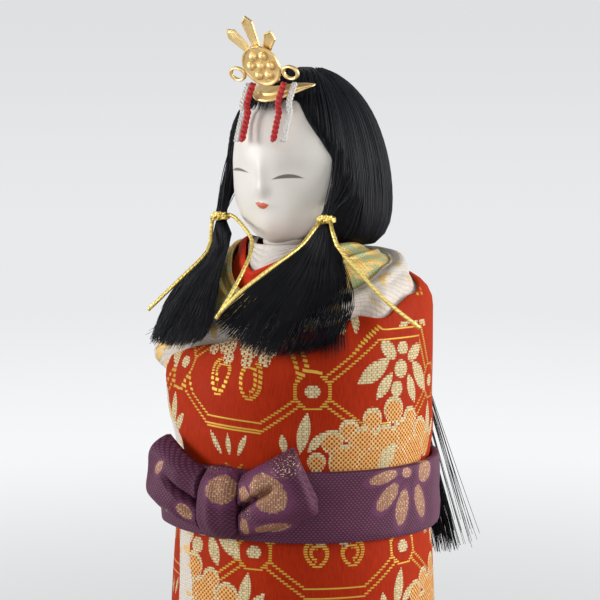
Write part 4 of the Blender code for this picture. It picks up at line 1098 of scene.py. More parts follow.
@dataclass(frozen=True)
class RedBrocade(Finish):
    """Red-orange silk with scrolls, flowers and a lattice floated in gold and cream."""

    ground: Colour = (0.50, 0.032, 0.003)
    deep: Colour = (0.34, 0.015, 0.002)
    gold: Colour = (0.56, 0.36, 0.05)
    cream: Colour = (0.88, 0.78, 0.48)
    petal: Colour = (0.94, 0.60, 0.22)
    # Painted shade at the rounded edges of the cream floats, and the real dark binding dots where they end
    gap: Colour = (0.30, 0.15, 0.035)
    cream_low: Colour = (0.72, 0.60, 0.34)
    petal_low: Colour = (0.82, 0.46, 0.14)
    # Painted shade at the rounded edges of the petal floats
    petal_thread_shade: Colour = (0.70, 0.34, 0.09)
    pitch: float = 0.61
    float_length: float = 3.0
    repeat_wide: float = 41.0
    repeat_tall: float = 40.4
    level: float = 108.3
    level_share: float = 0.604
    step_aside: float = 26.2
    start: float = 28.5
    ring_size: float = 4.3
    ring_line: float = 0.42
    rail_line: float = 0.40
    rail_apart: float = 1.15
    rail_climb: float = 0.74
    upper_climb: float = 0.756
    far_climb: float = 1.7
    lower_level: float = 9.6
    upper_level: float = 13.4
    dash: float = 1.25

    def lattice(self, side: Field, y: Field) -> Field:
        """Double gold rails between eight-sided rings."""
        out, up = abs(side), abs(y)
        corner = out.most(up).most((out + up) * 0.7071)
        ring = self.ring_line - abs(corner - self.ring_size)
        lower = (out * self.rail_climb).least(self.lower_level)
        upper = (side * self.upper_climb).most(side * -self.far_climb).least(self.upper_level)
        above = y > 0.0
        steep = (side < 0.0) * above * (upper < self.upper_level - 0.1)
        rail = abs(abs(up - above.blend(lower, upper)) - (steep * 1.3 + self.rail_apart))
        return ring.most((steep * 0.6 + self.rail_line - rail).least(
            corner - (self.ring_size + 0.3)))

    def scrolls(self, x: Field, y: Field) -> Field:
        """A pair of curled fern tips, pointed below, their stems outward."""
        across = abs(x) - 4.4
        up = y + 0.3 - abs(across) * 0.30
        reach = place_field(x.tree, across, up).length()
        turn = (0.20 - up.maths("ARCTAN2", across) / math.tau).fraction()
        stem = 0.50 - abs(reach - 3.3 + turn * 1.25)
        tip = (0.42 - abs(reach - 2.05 + turn * 1.8)).least((0.42 - turn) * 9.0)
        return stem.most(tip)

    def pattern(self, tree: bpy.types.NodeTree) -> dict[str, Field]:
        """Draw the repeat, row by row of weft."""
        cloth = self.coordinates(tree)
        rows = use_group(tree, weft_rows(), Place=cloth, Pitch=self.pitch,
                         Float=self.float_length)
        repeat = (rows["Snapped"].part("Y") - self.level) / self.repeat_tall + self.level_share
        row = repeat.maths("FLOOR")
        y = (repeat - row - self.level_share) * self.repeat_tall
        half = self.repeat_wide / 2
        x = (rows["Snapped"].part("X") - self.start + row * self.step_aside).wrap(
            -half, self.repeat_wide + half)
        here = place_field(tree, x, y)
        side = (x - half).wrap(-half, half)
        at_ring = place_field(tree, side, y)

        gold = self.lattice(side, y).most(self.scrolls(x, y)).most(
            FAN_FOOT.depth(here).least(y * -1.0 - 18.9))
        peony = here.cloud(PEONY)
        inside = here.moved(0.0, -0.75, 0.0, 1.0, 1.0).cloud(PEONY) - 0.45
        rim = here.heap(PEONY).band(0.35, 0.2)
        heart = here.leaf((38.5, -21.0), (43.5, -13.5), 2.2)
        blossom = here.heap(BLOSSOM)
        cream = blossom.most(at_ring.oval(0.0, 0.0, 2.0, 1.6))
        for base, tip, width in FAN_LEAVES + HANGING_LEAVES:
            cream = cream.most(here.leaf(base, tip, width))
        for base, tip, width in SPRIG_LEAVES:
            cream = cream.most(at_ring.leaf(base, tip, width))
        cream = cream.most(self.cluster(here))

        # Painted shade: each cream float is darker towards its rounded edges and between rows; the dark dots where
        # floats end are the real binding points
        shown = rows["Thread"]
        phase = (cloth.part("X") / self.dash + rows["Row"] * 0.5).fraction()
        loose = abs(phase - 0.5) * 2.0
        level = abs(rows["Inside"])
        net = 1.0 - (loose - 0.56).least(0.80 - level).band(0.06, 0.14)
        dense = (rows["Along"] - 0.80).band(0.0, 0.05)
        shown = shown * (1.0 - (loose - 0.80).least(0.7 - level).band(0.04, 0.08) * 0.8)
        petal_mask = inside.band(0.0, 0.08) * (heart < 0.0)
        rounded = rows["Inside"] * rows["Inside"] * 0.13
        cream_mask = (cream - rounded).most(peony - rounded * 2.0).band(0.0, 0.06)
        gold_mask = gold.most((heart - 0.2).least((rows["Along"] * -1.0) + 0.9)).band(0.0, 0.05)

        place = self.solid_place(tree)
        tone = use_group(tree, worn_tone(), Place=place, Broad=0.24, Fine=0.16)
        crepe = cloth.noise((3.4, 0.30, 1.0), 3.0, 0.65)
        ground = crepe.band(0.5, 0.28).blend(self.deep, self.ground)
        thread_tone = rows["Snapped"].noise((0.33, 1.64, 1.0), 1.0).band(0.5, 0.3)
        cream_thread = thread_tone.blend(self.cream_low, self.cream)
        petal_thread = rim.blend(self.cream, thread_tone.blend(self.petal_low, self.petal))
        colour = (gold_mask * rows["Line"]).blend(ground, self.gold)
        colour = cream_mask.blend(colour, shown.blend(self.gap, cream_thread))
        colour = (blossom.band(0.05, 0.05) * dense).blend(colour, ground)
        # Painted shade: the petal floats are darker towards their rounded edges; the deep dots between them are the
        # real red ground
        colour = petal_mask.blend(colour, net.blend(
            self.deep, rows["Thread"].blend(self.petal_thread_shade, petal_thread)))
        raised = gold_mask * 0.5
        raised = raised.most(cream_mask)
        raised = raised.most(petal_mask) * (rows["Round"] * 0.6 + 0.4)
        return {"Base Color": tinted(colour, tone["Shade"]),
                "Metallic": gold_mask * rows["Line"] * (1.0 - cream_mask) * 0.35,
                "Roughness": 0.66 - gold_mask * 0.2,
                "Height": raised + crepe * 0.12}

    def cluster(self, here: Field) -> Field:
        """Bell flowers and leaves that hang from the peony, the same on both sides."""
        seen = here.moved(45.6, 4.5, -0.14, 1.0, 1.0)
        x, y = abs(seen.part("X")), seen.part("Y")
        folded = place_field(here.tree, x, y)
        shape = folded.oval(0.0, 5.2, 2.1, 1.7)
        shape = shape.most(folded.oval(5.0, 4.4, 3.2, 1.9, math.radians(35)))
        shape = shape.most(folded.oval(0.0, 0.0, 2.5, 2.3))
        shape = shape.most(seen.oval(-0.8, -5.0, 2.1, 2.1))
        shape = shape.most(folded.leaf((4.3, 2.3), (13.2, -5.0), 2.3))
        return shape.most(folded.leaf((2.9, -1.0), (7.2, -8.2), 1.7))


@dataclass(frozen=True)
class CreamBrocade(Finish):
    """Ivory silk, ribbed along the weft, with small blocks of gold."""

    ivory: Colour = (0.84, 0.77, 0.68)
    shadow: Colour = (0.58, 0.50, 0.45)
    gold: Colour = (0.78, 0.50, 0.13)
    rib: float = 0.62

    def pattern(self, tree: bpy.types.NodeTree) -> dict[str, Field]:
        """Ribs and blocks."""
        cloth = self.coordinates(tree)
        rows = use_group(tree, weft_rows(), Place=cloth, Pitch=self.rib, Float=2.2)
        tone = use_group(tree, worn_tone(), Place=self.solid_place(tree), Broad=0.16, Fine=0.2)
        cell = rows["Snapped"].noise((0.20, 0.30, 1.0), 1.5, 0.4)
        block = (cell + (cloth.noise((2.0, 2.0, 1.0), 1.0) - 0.5) * 0.10).band(0.60, 0.03)
        grain = cloth.noise((3.0, 0.8, 1.0), 2.0)
        silk = rows["Thread"].blend(self.shadow, grain.blend((0.70, 0.62, 0.54), self.ivory))
        colour = (block * rows["Thread"]).blend(silk, self.gold)
        return {"Base Color": tinted(colour, tone["Shade"]),
                "Metallic": block * 0.35,
                "Height": rows["Round"] * (block * 0.4 + 0.6) + grain * 0.2}


@dataclass(frozen=True)
class GreenBrocade(Finish):
    """Olive silk crossed by pale weft, with steps and twin lines of gold."""

    olive: Colour = (0.060, 0.085, 0.030)
    pale: Colour = (0.50, 0.56, 0.27)
    gold: Colour = (0.88, 0.58, 0.17)
    # Painted shade at the rounded edges of the gold floats
    brown: Colour = (0.10, 0.045, 0.015)
    pitch: float = 0.56

    def pattern(self, tree: bpy.types.NodeTree) -> dict[str, Field]:
        """Gold steps in rows of weft."""
        cloth = self.coordinates(tree)
        rows = use_group(tree, weft_rows(), Place=cloth, Pitch=self.pitch, Float=1.7)
        tone = use_group(tree, worn_tone(), Place=self.solid_place(tree), Broad=0.25, Fine=0.2)
        x, y = rows["Snapped"].part("X"), rows["Snapped"].part("Y")
        slant = (x + y * 0.8).wrap(-3.6, 3.6)
        twin = 0.26 - abs(abs(slant) - 0.75)
        steps = ((x - y * 1.1) / 5.2).fraction() - 0.42
        cloud = rows["Snapped"].noise((0.22, 0.28, 1.0), 1.0) - 0.54
        gold = cloud.most(steps.least(0.5 - abs(slant) * 0.3)).most(twin).band(0.0, 0.03)
        weft = rows["Thread"].blend(self.olive, self.pale)
        # Painted shade: gold floats turn brown towards their rounded edges
        thread = rows["Thread"].blend(self.brown, self.gold)
        return {"Base Color": tinted(gold.blend(weft, thread), tone["Shade"]),
                "Metallic": gold * 0.45,
                "Height": rows["Round"] * (gold * 0.5 + 0.5)}


@dataclass(frozen=True)
class PurpleBrocade(Finish):
    """Plum silk with light dots and brown-gold flowers and clouds."""

    plum: Colour = (0.074, 0.016, 0.042)
    dot: Colour = (0.16, 0.050, 0.10)
    halo: Colour = (0.15, 0.034, 0.10)
    brown: Colour = (0.44, 0.23, 0.14)
    glint: Colour = (0.92, 0.66, 0.38)
    flowers: tuple[tuple[float, float, float, float, float], ...] = (
        (41.2, 86.5, 4.3, 1.5, 0.22), (42.4, 81.5, 4.3, 2.1, 0.80), (47.0, 78.4, 4.7, 2.1, 1.35),
        (53.8, 79.0, 4.5, 2.1, -1.30), (56.2, 86.4, 3.4, 2.8, 0.35), (48.5, 87.0, 1.7, 1.3, 0.0))
    patches: tuple[tuple[float, float, float, float, float], ...] = (
        (4.4, 84.6, 2.9, 3.6, 0.25), (15.2, 84.6, 3.9, 5.1, 0.5), (9.6, 83.6, 1.5, 2.3, 0.3),
        (9.2, 75.6, 1.2, 2.2, 0.0), (15.3, 75.6, 3.7, 1.5, 0.25), (-13.8, 87.6, 2.2, 1.2, 0.9),
        (-6.2, 77.6, 1.4, 2.2, 0.5))
    sparks: tuple[tuple[float, float, float], ...] = (
        (18.6, 91.6, 3.0), (1.2, 90.4, 1.7), (6.2, 90.6, 1.4), (9.4, 79.6, 1.8),
        (-17.6, 76.4, 1.6), (-11.4, 76.6, 1.5))

    def pattern(self, tree: bpy.types.NodeTree) -> dict[str, Field]:
        """Staggered dots, then the flowers with a bright rim, then loose gold threads."""
        cloth = self.coordinates(tree)
        rows = use_group(tree, weft_rows(), Place=cloth, Pitch=0.56, Float=1.0)
        tone = use_group(tree, worn_tone(), Place=self.solid_place(tree), Broad=0.4, Fine=0.35)
        ragged = cloth.noise((1.1, 1.1, 1.0), 2.0) - 0.5
        flower = cloth.oval(*self.flowers[0][:4], self.flowers[0][4])
        for x, y, wide, tall, turn in self.flowers[1:] + self.patches:
            flower = flower.most(cloth.oval(x, y, wide, tall, turn))
        flower = flower + ragged * 0.35
        shape = flower.band(0.03, 0.05)
        rim = flower.band(-0.32, 0.24)
        spark = cloth.near(*self.sparks[0])
        for one in self.sparks[1:]:
            spark = spark.most(cloth.near(*one))
        flecks = cloth.noise((2.4, 3.6, 1.0), 1.0).band(0.63, 0.02)
        loose = spark.band(0.0, 1.0) * flecks
        stripe = abs((cloth.part("X") / 0.52).fraction() - 0.5) * 2.0
        dots = (rows["Round"] - rows["Along"] * 0.9).band(0.42, 0.16)
        twill = abs(((cloth.part("X") * 0.8 + cloth.part("Y")) / 0.95).fraction() - 0.5) * 2.0
        edge_of_flower = (cloth.part("X") - 61.0).band(0.0, 1.0) * (cloth.part("X") < 76.0)
        woven = edge_of_flower.blend(dots, twill)
        ground = woven.blend(rim.blend(self.plum, self.halo), self.dot)
        glitter = rows["Snapped"].noise((2.2, 1.9, 1.0), 1.0).band(0.53, 0.04) * dots
        petal = stripe.band(0.5, 0.4).blend((0.26, 0.11, 0.075), self.brown)
        petal = (glitter * 0.75).blend(petal, (0.80, 0.56, 0.33))
        petal = (flecks * stripe * 0.7).blend(petal, self.glint)
        colour = loose.blend(shape.blend(ground, petal), self.glint)
        return {"Base Color": tinted(colour, tone["Shade"]),
                "Metallic": (loose + shape * 0.15).least(1.0),
                "Roughness": 0.62 - loose * 0.32 - shape * 0.12,
                "Height": woven * 0.5 + shape * 0.5 + loose * 0.4}


@dataclass(frozen=True)
class PlainSilk(Finish):
    """Fine silk in one dye, with a thread's grain."""

    light: Colour = (0.78, 0.036, 0.004)
    dark: Colour = (0.58, 0.016, 0.003)

    def pattern(self, tree: bpy.types.NodeTree) -> dict[str, Field]:
        """Grain of crossing threads."""
        cloth = self.coordinates(tree)
        grain = cloth.noise((4.0, 1.0, 1.0), 2.0)
        tone = use_group(tree, worn_tone(), Place=self.solid_place(tree))
        return {"Base Color": tinted(grain.blend(self.dark, self.light), tone["Shade"]),
                "Height": grain}


@dataclass(frozen=True)
class ShellWhite(Finish):
    """Burnished shell-white lacquer, with the face painted on."""

    white: Colour = (0.87, 0.83, 0.77)
    # Pink low on the face: partly blush, partly painted reflection of the red collar
    blush_and_collar_reflection: Colour = (0.80, 0.52, 0.44)
    ink: Colour = (0.11, 0.080, 0.060)
    lip: Colour = (0.62, 0.095, 0.02)
    eyes: tuple[tuple[float, float, float, float], ...] = (
        (23.5, 15.0, 42.7, 2.9), (-32.0, -20.0, 46.0, 2.3))

    def eye(self, turn: Field, up: Field, eye: tuple[float, float, float, float]) -> Field:
        """Lowered eye: a slim arc, thickest in its middle.

        Args:
            turn: degrees round the face.
            up: hundredths of the head's height.
            eye: middle, half width towards the outer corner, top and thickness.

        Returns:
            How far inside the stroke this place is.
        """
        middle, half, top, thick = eye
        along = (turn - middle) / half
        bend = along * along
        level = up - along * 0.5
        return (top - bend * (thick + 0.6) - level).least(level + bend * 0.6 - (top - thick))

    def pattern(self, tree: bpy.types.NodeTree) -> dict[str, Field]:
        """White ground, pink low on the face that is partly blush and partly painted reflection of the red collar,
        eyes and lips.
        """
        face = self.coordinates(tree)
        turn, up = face.part("X"), face.part("Y")
        place = self.solid_place(tree)
        tone = use_group(tree, worn_tone(), Place=place, Broad=0.05, Fine=0.03)
        # Pink under the chin towards the doll's left: partly blush, partly the red collar's reflected light painted in
        blush_and_collar_reflection = face.moved(16.0, 3.0, 0.0, 44.0, 15.0).length()
        blush_and_collar_reflection = (1.0 - blush_and_collar_reflection).band(0.45, 0.5) * 0.30
        colour = blush_and_collar_reflection.blend(self.white, self.blush_and_collar_reflection)
        for one in self.eyes:
            stroke = self.eye(turn, up, one).band(0.25, 0.35)
            colour = (stroke * 0.92).blend(colour, self.ink)
        wobble = (place.noise((1.4, 1.4, 1.4), 1.0) - 0.5) * 0.8
        across = (turn + 1.2) / 7.6
        upper = across * -0.5 - abs(abs(across + 0.1) - 0.32) * 1.6 + 25.6
        lower = across * across * 3.0 + 21.1 - across * 0.3
        lips = (upper - up).least(up - lower) + wobble * 0.3
        colour = (lips.band(0.15, 0.3) * 0.95).blend(colour, self.lip)
        return {"Base Color": tinted(colour, tone["Shade"]),
                "Height": place.noise((2.5, 2.5, 2.5), 2.0)}


@dataclass(frozen=True)
class HairFinish(Finish):
    """Blue-black silk strands."""

    dark: Colour = (0.0015, 0.0018, 0.0035)
    light: Colour = (0.007, 0.008, 0.014)

    def pattern(self, tree: bpy.types.NodeTree) -> dict[str, Field]:
        """Each strand has a tone of its own, and fine streaks along it."""
        cloth = self.coordinates(tree)
        streak = cloth.noise((0.05, 9.0, 1.0), 2.0)
        return {"Base Color": streak.blend(self.dark, self.light), "Height": streak,
                "Roughness": streak * 0.2 + 0.42}


@dataclass(frozen=True)
class WoundGold(Finish):
    """Paper cord wound with gold foil."""

    bright: Colour = (0.95, 0.78, 0.26)
    dull: Colour = (0.60, 0.38, 0.06)

    def pattern(self, tree: bpy.types.NodeTree) -> dict[str, Field]:
        """A slanting seam at each turn of the foil."""
        cloth = self.coordinates(tree)
        turn = (cloth.part("X") / 1.3 + cloth.part("Y")).fraction()
        seam = abs(turn - 0.5) * 2.0
        worn = self.solid_place(tree).noise((2.2, 2.2, 2.2), 2.0)
        return {"Base Color": seam.maths("POWER", 6.0).blend(
                    worn.band(0.5, 0.2).blend((0.86, 0.64, 0.16), self.bright), self.dull),
                "Roughness": worn * 0.2 + 0.2,
                "Height": 1.0 - seam.maths("POWER", 4.0)}


@dataclass(frozen=True)
class Gilt(Finish):
    """Satin gilding with soft wear and a fine tooth."""

    bright: Colour = (0.86, 0.66, 0.32)
    dull: Colour = (0.70, 0.49, 0.21)

    def pattern(self, tree: bpy.types.NodeTree) -> dict[str, Field]:
        """Clouds of wear over a fine tooth."""
        place = self.solid_place(tree)
        cloud = place.noise((0.5, 0.5, 0.5), 3.0)
        tooth = place.noise((9.0, 9.0, 9.0), 2.0)
        return {"Base Color": cloud.band(0.5, 0.25).blend(self.dull, self.bright),
                "Roughness": cloud * 0.25 + 0.32, "Height": tooth}


@dataclass(frozen=True)
class Braid(Finish):
    """Silk braid, one thread of it to a tone."""

    light: Colour = (0.70, 0.012, 0.018)
    dark: Colour = (0.34, 0.005, 0.008)

    def pattern(self, tree: bpy.types.NodeTree) -> dict[str, Field]:
        """Fine threads along each ply."""
        cloth = self.coordinates(tree)
        thread = cloth.noise((0.5, 7.0, 1.0), 2.0)
        return {"Base Color": thread.blend(self.dark, self.light), "Height": thread}


@dataclass(frozen=True)
class PaleWood(Finish):
    """Plain pale wood with a straight grain."""

    light: Colour = (0.66, 0.48, 0.29)
    dark: Colour = (0.46, 0.30, 0.16)

    def pattern(self, tree: bpy.types.NodeTree) -> dict[str, Field]:
        """Grain that runs upward."""
        grain = self.solid_place(tree).noise((1.6, 1.6, 0.08), 4.0, 0.6)
        return {"Base Color": grain.band(0.5, 0.2).blend(self.dark, self.light), "Height": grain}


RED_BROCADE = RedBrocade("figured_red_silk", "red_brocade", roughness=0.6, specular=0.10,
                         sheen=0.35, sheen_tint=(1.0, 0.16, 0.02))
CREAM_BROCADE = CreamBrocade("figured_cream_silk", "cream_brocade", roughness=0.6, sheen=0.1)
GREEN_BROCADE = GreenBrocade("figured_green_silk", "green_brocade", roughness=0.5)
PURPLE_BROCADE = PurpleBrocade("figured_plum_silk", "purple_brocade", roughness=0.6, specular=0.25,
                               bump=0.7)
RED_SILK = PlainSilk("collar_silk", "red_silk", roughness=0.55, specular=0.15, sheen=0.2,
                     sheen_tint=(1.0, 0.2, 0.04))
WHITE_SILK = PlainSilk("pleated_silk", "white_silk", roughness=0.6, light=(0.86, 0.82, 0.77),
                       dark=(0.70, 0.64, 0.60))
SHELL_WHITE = ShellWhite("shell_white", "white_lacquer", roughness=0.42, specular=0.45,
                         bump=0.04)
HAIR = HairFinish("blue_black_hair", "hair", roughness=0.45, specular=0.22)
GOLD_CORD = WoundGold("gold_foil_paper", "gold_cord", roughness=0.30, metallic=0.65)
GILT = Gilt("satin_gilding", "gilt", roughness=0.35, metallic=0.95, bump=0.15)
RED_BRAID = Braid("red_braid", "red_cord", roughness=0.6, sheen=0.15)
WHITE_BRAID = Braid("white_braid", "white_cord", roughness=0.6, light=(0.88, 0.87, 0.84),
                    dark=(0.68, 0.66, 0.63))
PALE_WOOD = PaleWood("plain_pale_wood", "pale_wood", roughness=0.6)


# Camera, light and floor

@dataclass
class Studio:
    """Camera at the photograph's angle, soft boxes at both sides and a pale ground."""

    azimuth: float = 35.0
    pitch: float = -5.3
    distance: float = 0.468
    height: float = 0.171
    lens: float = 108.0
    reach: float = 0.9
    box_size: float = 0.44
    lamps: tuple[tuple[str, float, float, float, float], ...] = (
        ("left_box", -48.0, 0.30, 6.6, 1.0), ("right_box", 122.0, 0.26, 7.4, 1.0),
        ("front_box", 52.0, 0.34, 2.3, 1.2), ("top_box", 20.0, 1.30, 2.0, 1.3))
    sky: float = 0.15
    near_tone: Colour = (0.965, 0.97, 0.98)
    far_tone: Colour = (0.815, 0.82, 0.83)
    high_tone: Colour = (0.74, 0.745, 0.755)
    near_share: float = 0.62

    def camera(self) -> None:
        """Make the camera."""
        bpy.ops.object.camera_add(
            location=direction(self.azimuth) * self.distance + Vector((0, 0, self.height)),
            rotation=(math.radians(90 + self.pitch), 0, math.radians(self.azimuth)))
        made = bpy.context.object
        made.name = "photo_camera"
        made.data.lens = self.lens
        made.data.sensor_width = 36.0
        made.data.clip_start = 0.01
        made.data.dof.use_dof = False
        bpy.context.scene.camera = made

    def soft_box(self, name: str, azimuth: float, height: float, power: float,
                 size: float) -> None:
        """Make one soft lamp that looks at the doll's middle.

        Args:
            name: the lamp's name.
            azimuth: where it stands, from the front towards the doll's left.
            height: of its middle.
            power: in watts.
            size: of its side.
        """
        place = direction(azimuth) * self.reach + Vector((0, 0, height))
        bpy.ops.object.light_add(type="AREA", location=place)
        made = bpy.context.object
        made.name = name
        made.data.energy = power
        made.data.size = size
        look = Vector((0, 0, FIGURE.shoulder)) - place
        made.rotation_euler = look.to_track_quat("-Z", "Y").to_euler()

    def ground(self) -> None:
        """Make the floor and the wall, pale wherever the camera sees them directly."""
        bpy.ops.mesh.primitive_plane_add(size=6, location=(0, 0, 0))
        floor = bpy.context.object
        floor.name = "studio_floor"
        bpy.ops.mesh.primitive_cylinder_add(radius=2.6, depth=4, vertices=96,
                                            end_fill_type="NOTHING", location=(0, 0, 1.99))
        wall = bpy.context.object
        wall.name = "studio_wall"
        settle(wall)
        for made, pale in ((floor, 0.42), (wall, 0.30)):
            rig.stage(made)
            material = bpy.data.materials.new(made.name)
            material.use_nodes = True
            tree = material.node_tree
            shader = tree.nodes["Principled BSDF"]
            shader.inputs["Base Color"].default_value = (pale, pale, pale, 1)
            shader.inputs["Roughness"].default_value = 0.9
            made.data.materials.append(material)
            self.show_pale(material, made is floor)

    def show_pale(self, material: bpy.types.Material, floor: bool) -> None:
        """Show the ground pale to the camera and in gloss, without lighting the doll.

        Args:
            material: the floor's or the wall's.
            floor: whether it is the floor, which keeps the doll's shadow near the doll.
        """
        tree = material.node_tree
        seen = tree.nodes.new("ShaderNodeLightPath")
        glow = tree.nodes.new("ShaderNodeEmission")
        blend = tree.nodes.new("ShaderNodeMixShader")
        ways = Field(tree, seen.outputs["Is Camera Ray"])
        ways = ways.most(Field(tree, seen.outputs["Is Glossy Ray"]))
        ways = ways.most(Field(tree, seen.outputs["Is Transmission Ray"]))
        place = Field(tree, tree.nodes.new("ShaderNodeTexCoord").outputs["Object"])
        if floor:
            far = place.length().band(0.75, 0.65)
            colour = far.blend(self.near_tone, self.far_tone)
            ways = ways * (place.length().band(0.32, 0.22) * (1 - self.near_share)
                           + self.near_share)
        else:
            colour = place.part("Z").band(0.2, 0.2).blend(self.far_tone, self.high_tone)
        tree.links.new(colour.socket, glow.inputs["Color"])
        tree.links.new(ways.socket, blend.inputs[0])
        tree.links.new(tree.nodes["Principled BSDF"].outputs[0], blend.inputs[1])
        tree.links.new(glow.outputs[0], blend.inputs[2])
        tree.links.new(blend.outputs[0], tree.nodes["Material Output"].inputs["Surface"])

    def build(self) -> None:
        """Make the camera, the lamps and the ground."""
        self.camera()
        for name, azimuth, height, power, share in self.lamps:
            self.soft_box(name, azimuth, height, power, self.box_size * share)
        self.ground()
        world = bpy.data.worlds.new("studio_world")
        world.use_nodes = True
        world.node_tree.nodes["Background"].inputs["Color"].default_value = (0.9, 0.95, 1.0, 1)
        world.node_tree.nodes["Background"].inputs["Strength"].default_value = self.sky
        bpy.context.scene.world = world
        bpy.context.scene.view_settings.view_transform = "Standard"


# Head and hair sizes that several pieces share

@dataclass(frozen=True)
class Skull:
    """Sizes and surface of the white head."""

    chin: float = 0.1430
    tall: float = 0.0418
    half_width: float = 0.0176
    half_depth: float = 0.0190
    back: float = 0.0012
    nose: float = 0.0013
    widths: Table = (
        (0.0, 0.16), (0.04, 0.41), (0.12, 0.70), (0.24, 0.915), (0.40, 1.0), (0.55, 1.005),
        (0.72, 0.93), (0.86, 0.70), (0.95, 0.42), (1.0, 0.14))
    fronts: Table = (
        (0.0, 0.66), (0.04, 0.76), (0.12, 0.84), (0.24, 0.905), (0.40, 0.96), (0.55, 0.98),
        (0.72, 0.90), (0.86, 0.68), (0.95, 0.40), (1.0, 0.10))
    backs: Table = (
        (0.0, -0.28), (0.04, -0.05), (0.12, 0.28), (0.24, 0.62), (0.40, 0.90), (0.55, 1.0),
        (0.72, 0.96), (0.86, 0.74), (0.95, 0.46), (1.0, 0.16))

    def relief(self, turn: float, up: float) -> float:
        """Nose, lips, chin, eye hollows and cheeks, as a push outwards."""
        side = math.degrees(turn)
        nose = 0.85 * hump(side, 0, 6.5) * hump(up, 0.325, 0.045)
        bridge = 0.45 * hump(side, 0, 5.0) * hump(up, 0.42, 0.08)
        lips = 0.35 * hump(side, 0, 9.0) * hump(up, 0.235, 0.022)
        chin = 0.40 * hump(side, 0, 15.0) * hump(up, 0.10, 0.06)
        hollows = -0.30 * (hump(side, 27, 13) + hump(side, -27, 13)) * hump(up, 0.45, 0.05)
        cheeks = 0.30 * (hump(side, 34, 16) + hump(side, -34, 16)) * hump(up, 0.28, 0.10)
        return self.nose * (nose + bridge + lips + chin + hollows + cheeks)

    def point(self, turn: float, up: float, offset: float = 0.0) -> Vector:
        """Point of the head at a turn from the front and a share of its height."""
        width = self.half_width * flow_table(self.widths, up)
        front = self.half_depth * flow_table(self.fronts, up)
        back = self.half_depth * flow_table(self.backs, up)
        relief = self.relief(turn, up) * smooth(math.cos(turn) * 3)
        x = (width + offset + relief) * math.sin(turn)
        y = (back - front) / 2 + self.back
        y -= ((back + front) / 2 + offset + relief) * math.cos(turn)
        return Vector((x, y, self.chin + self.tall * up + (up - 0.5) * 2 * offset))


SKULL = Skull()


@dataclass(frozen=True)
class HairShape:
    """Sizes and surface of the combed cap of hair."""

    low: float = 0.1424
    tall: float = 0.0460
    half_width: float = 0.0212
    half_depth: float = 0.0250
    back: float = 0.0025
    reaches: Table = (
        (0.0, 0.80), (0.05, 0.91), (0.14, 0.985), (0.28, 1.0), (0.44, 0.965), (0.60, 0.88),
        (0.74, 0.755), (0.86, 0.575), (0.95, 0.34), (1.0, 0.08))
    line: Table = ((0.0, 1.20), (0.12, 1.15), (0.37, 0.98), (0.68, 0.73), (0.93, 0.54),
                   (0.985, 0.44), (1.0, 0.34))

    def point(self, turn: float, up: float, offset: float = 0.0) -> Vector:
        """Point of the cap at a turn from the front and a share of its height."""
        reach = flow_table(self.reaches, up)
        return Vector(((self.half_width * reach + offset) * math.sin(turn),
                       self.back - (self.half_depth * reach + offset) * math.cos(turn),
                       self.low + self.tall * up + offset * smooth(up)))

    def front(self, x: float, height: float) -> float:
        """How far forward the hair and the brow reach."""
        reach = flow_table(self.reaches, (height - self.low) / self.tall)
        share = min(abs(x) / (self.half_width * reach), 0.98)
        hair = self.back - self.half_depth * reach * math.sqrt(1 - share * share)
        brow = min((height - SKULL.chin) / SKULL.tall, 0.98)
        width = SKULL.half_width * flow_table(SKULL.widths, brow)
        return min(hair, SKULL.point(math.asin(min(abs(x) / width, 0.98)), brow).y)


CAP = HairShape()


@dataclass(frozen=True)
class Tie:
    """Where the gold cords hold the side locks."""

    side: float = 0.0166
    forward: float = 0.0118
    height: float = 0.1496
    radius: float = 0.0014
    cord: float = 0.0010
    gap: float = 0.0003

    def centre(self, hand: Turn) -> Vector:
        """Middle of one tie."""
        return Vector((hand.value * self.side, -self.forward, self.height))


TIE = Tie()


# Gold cords

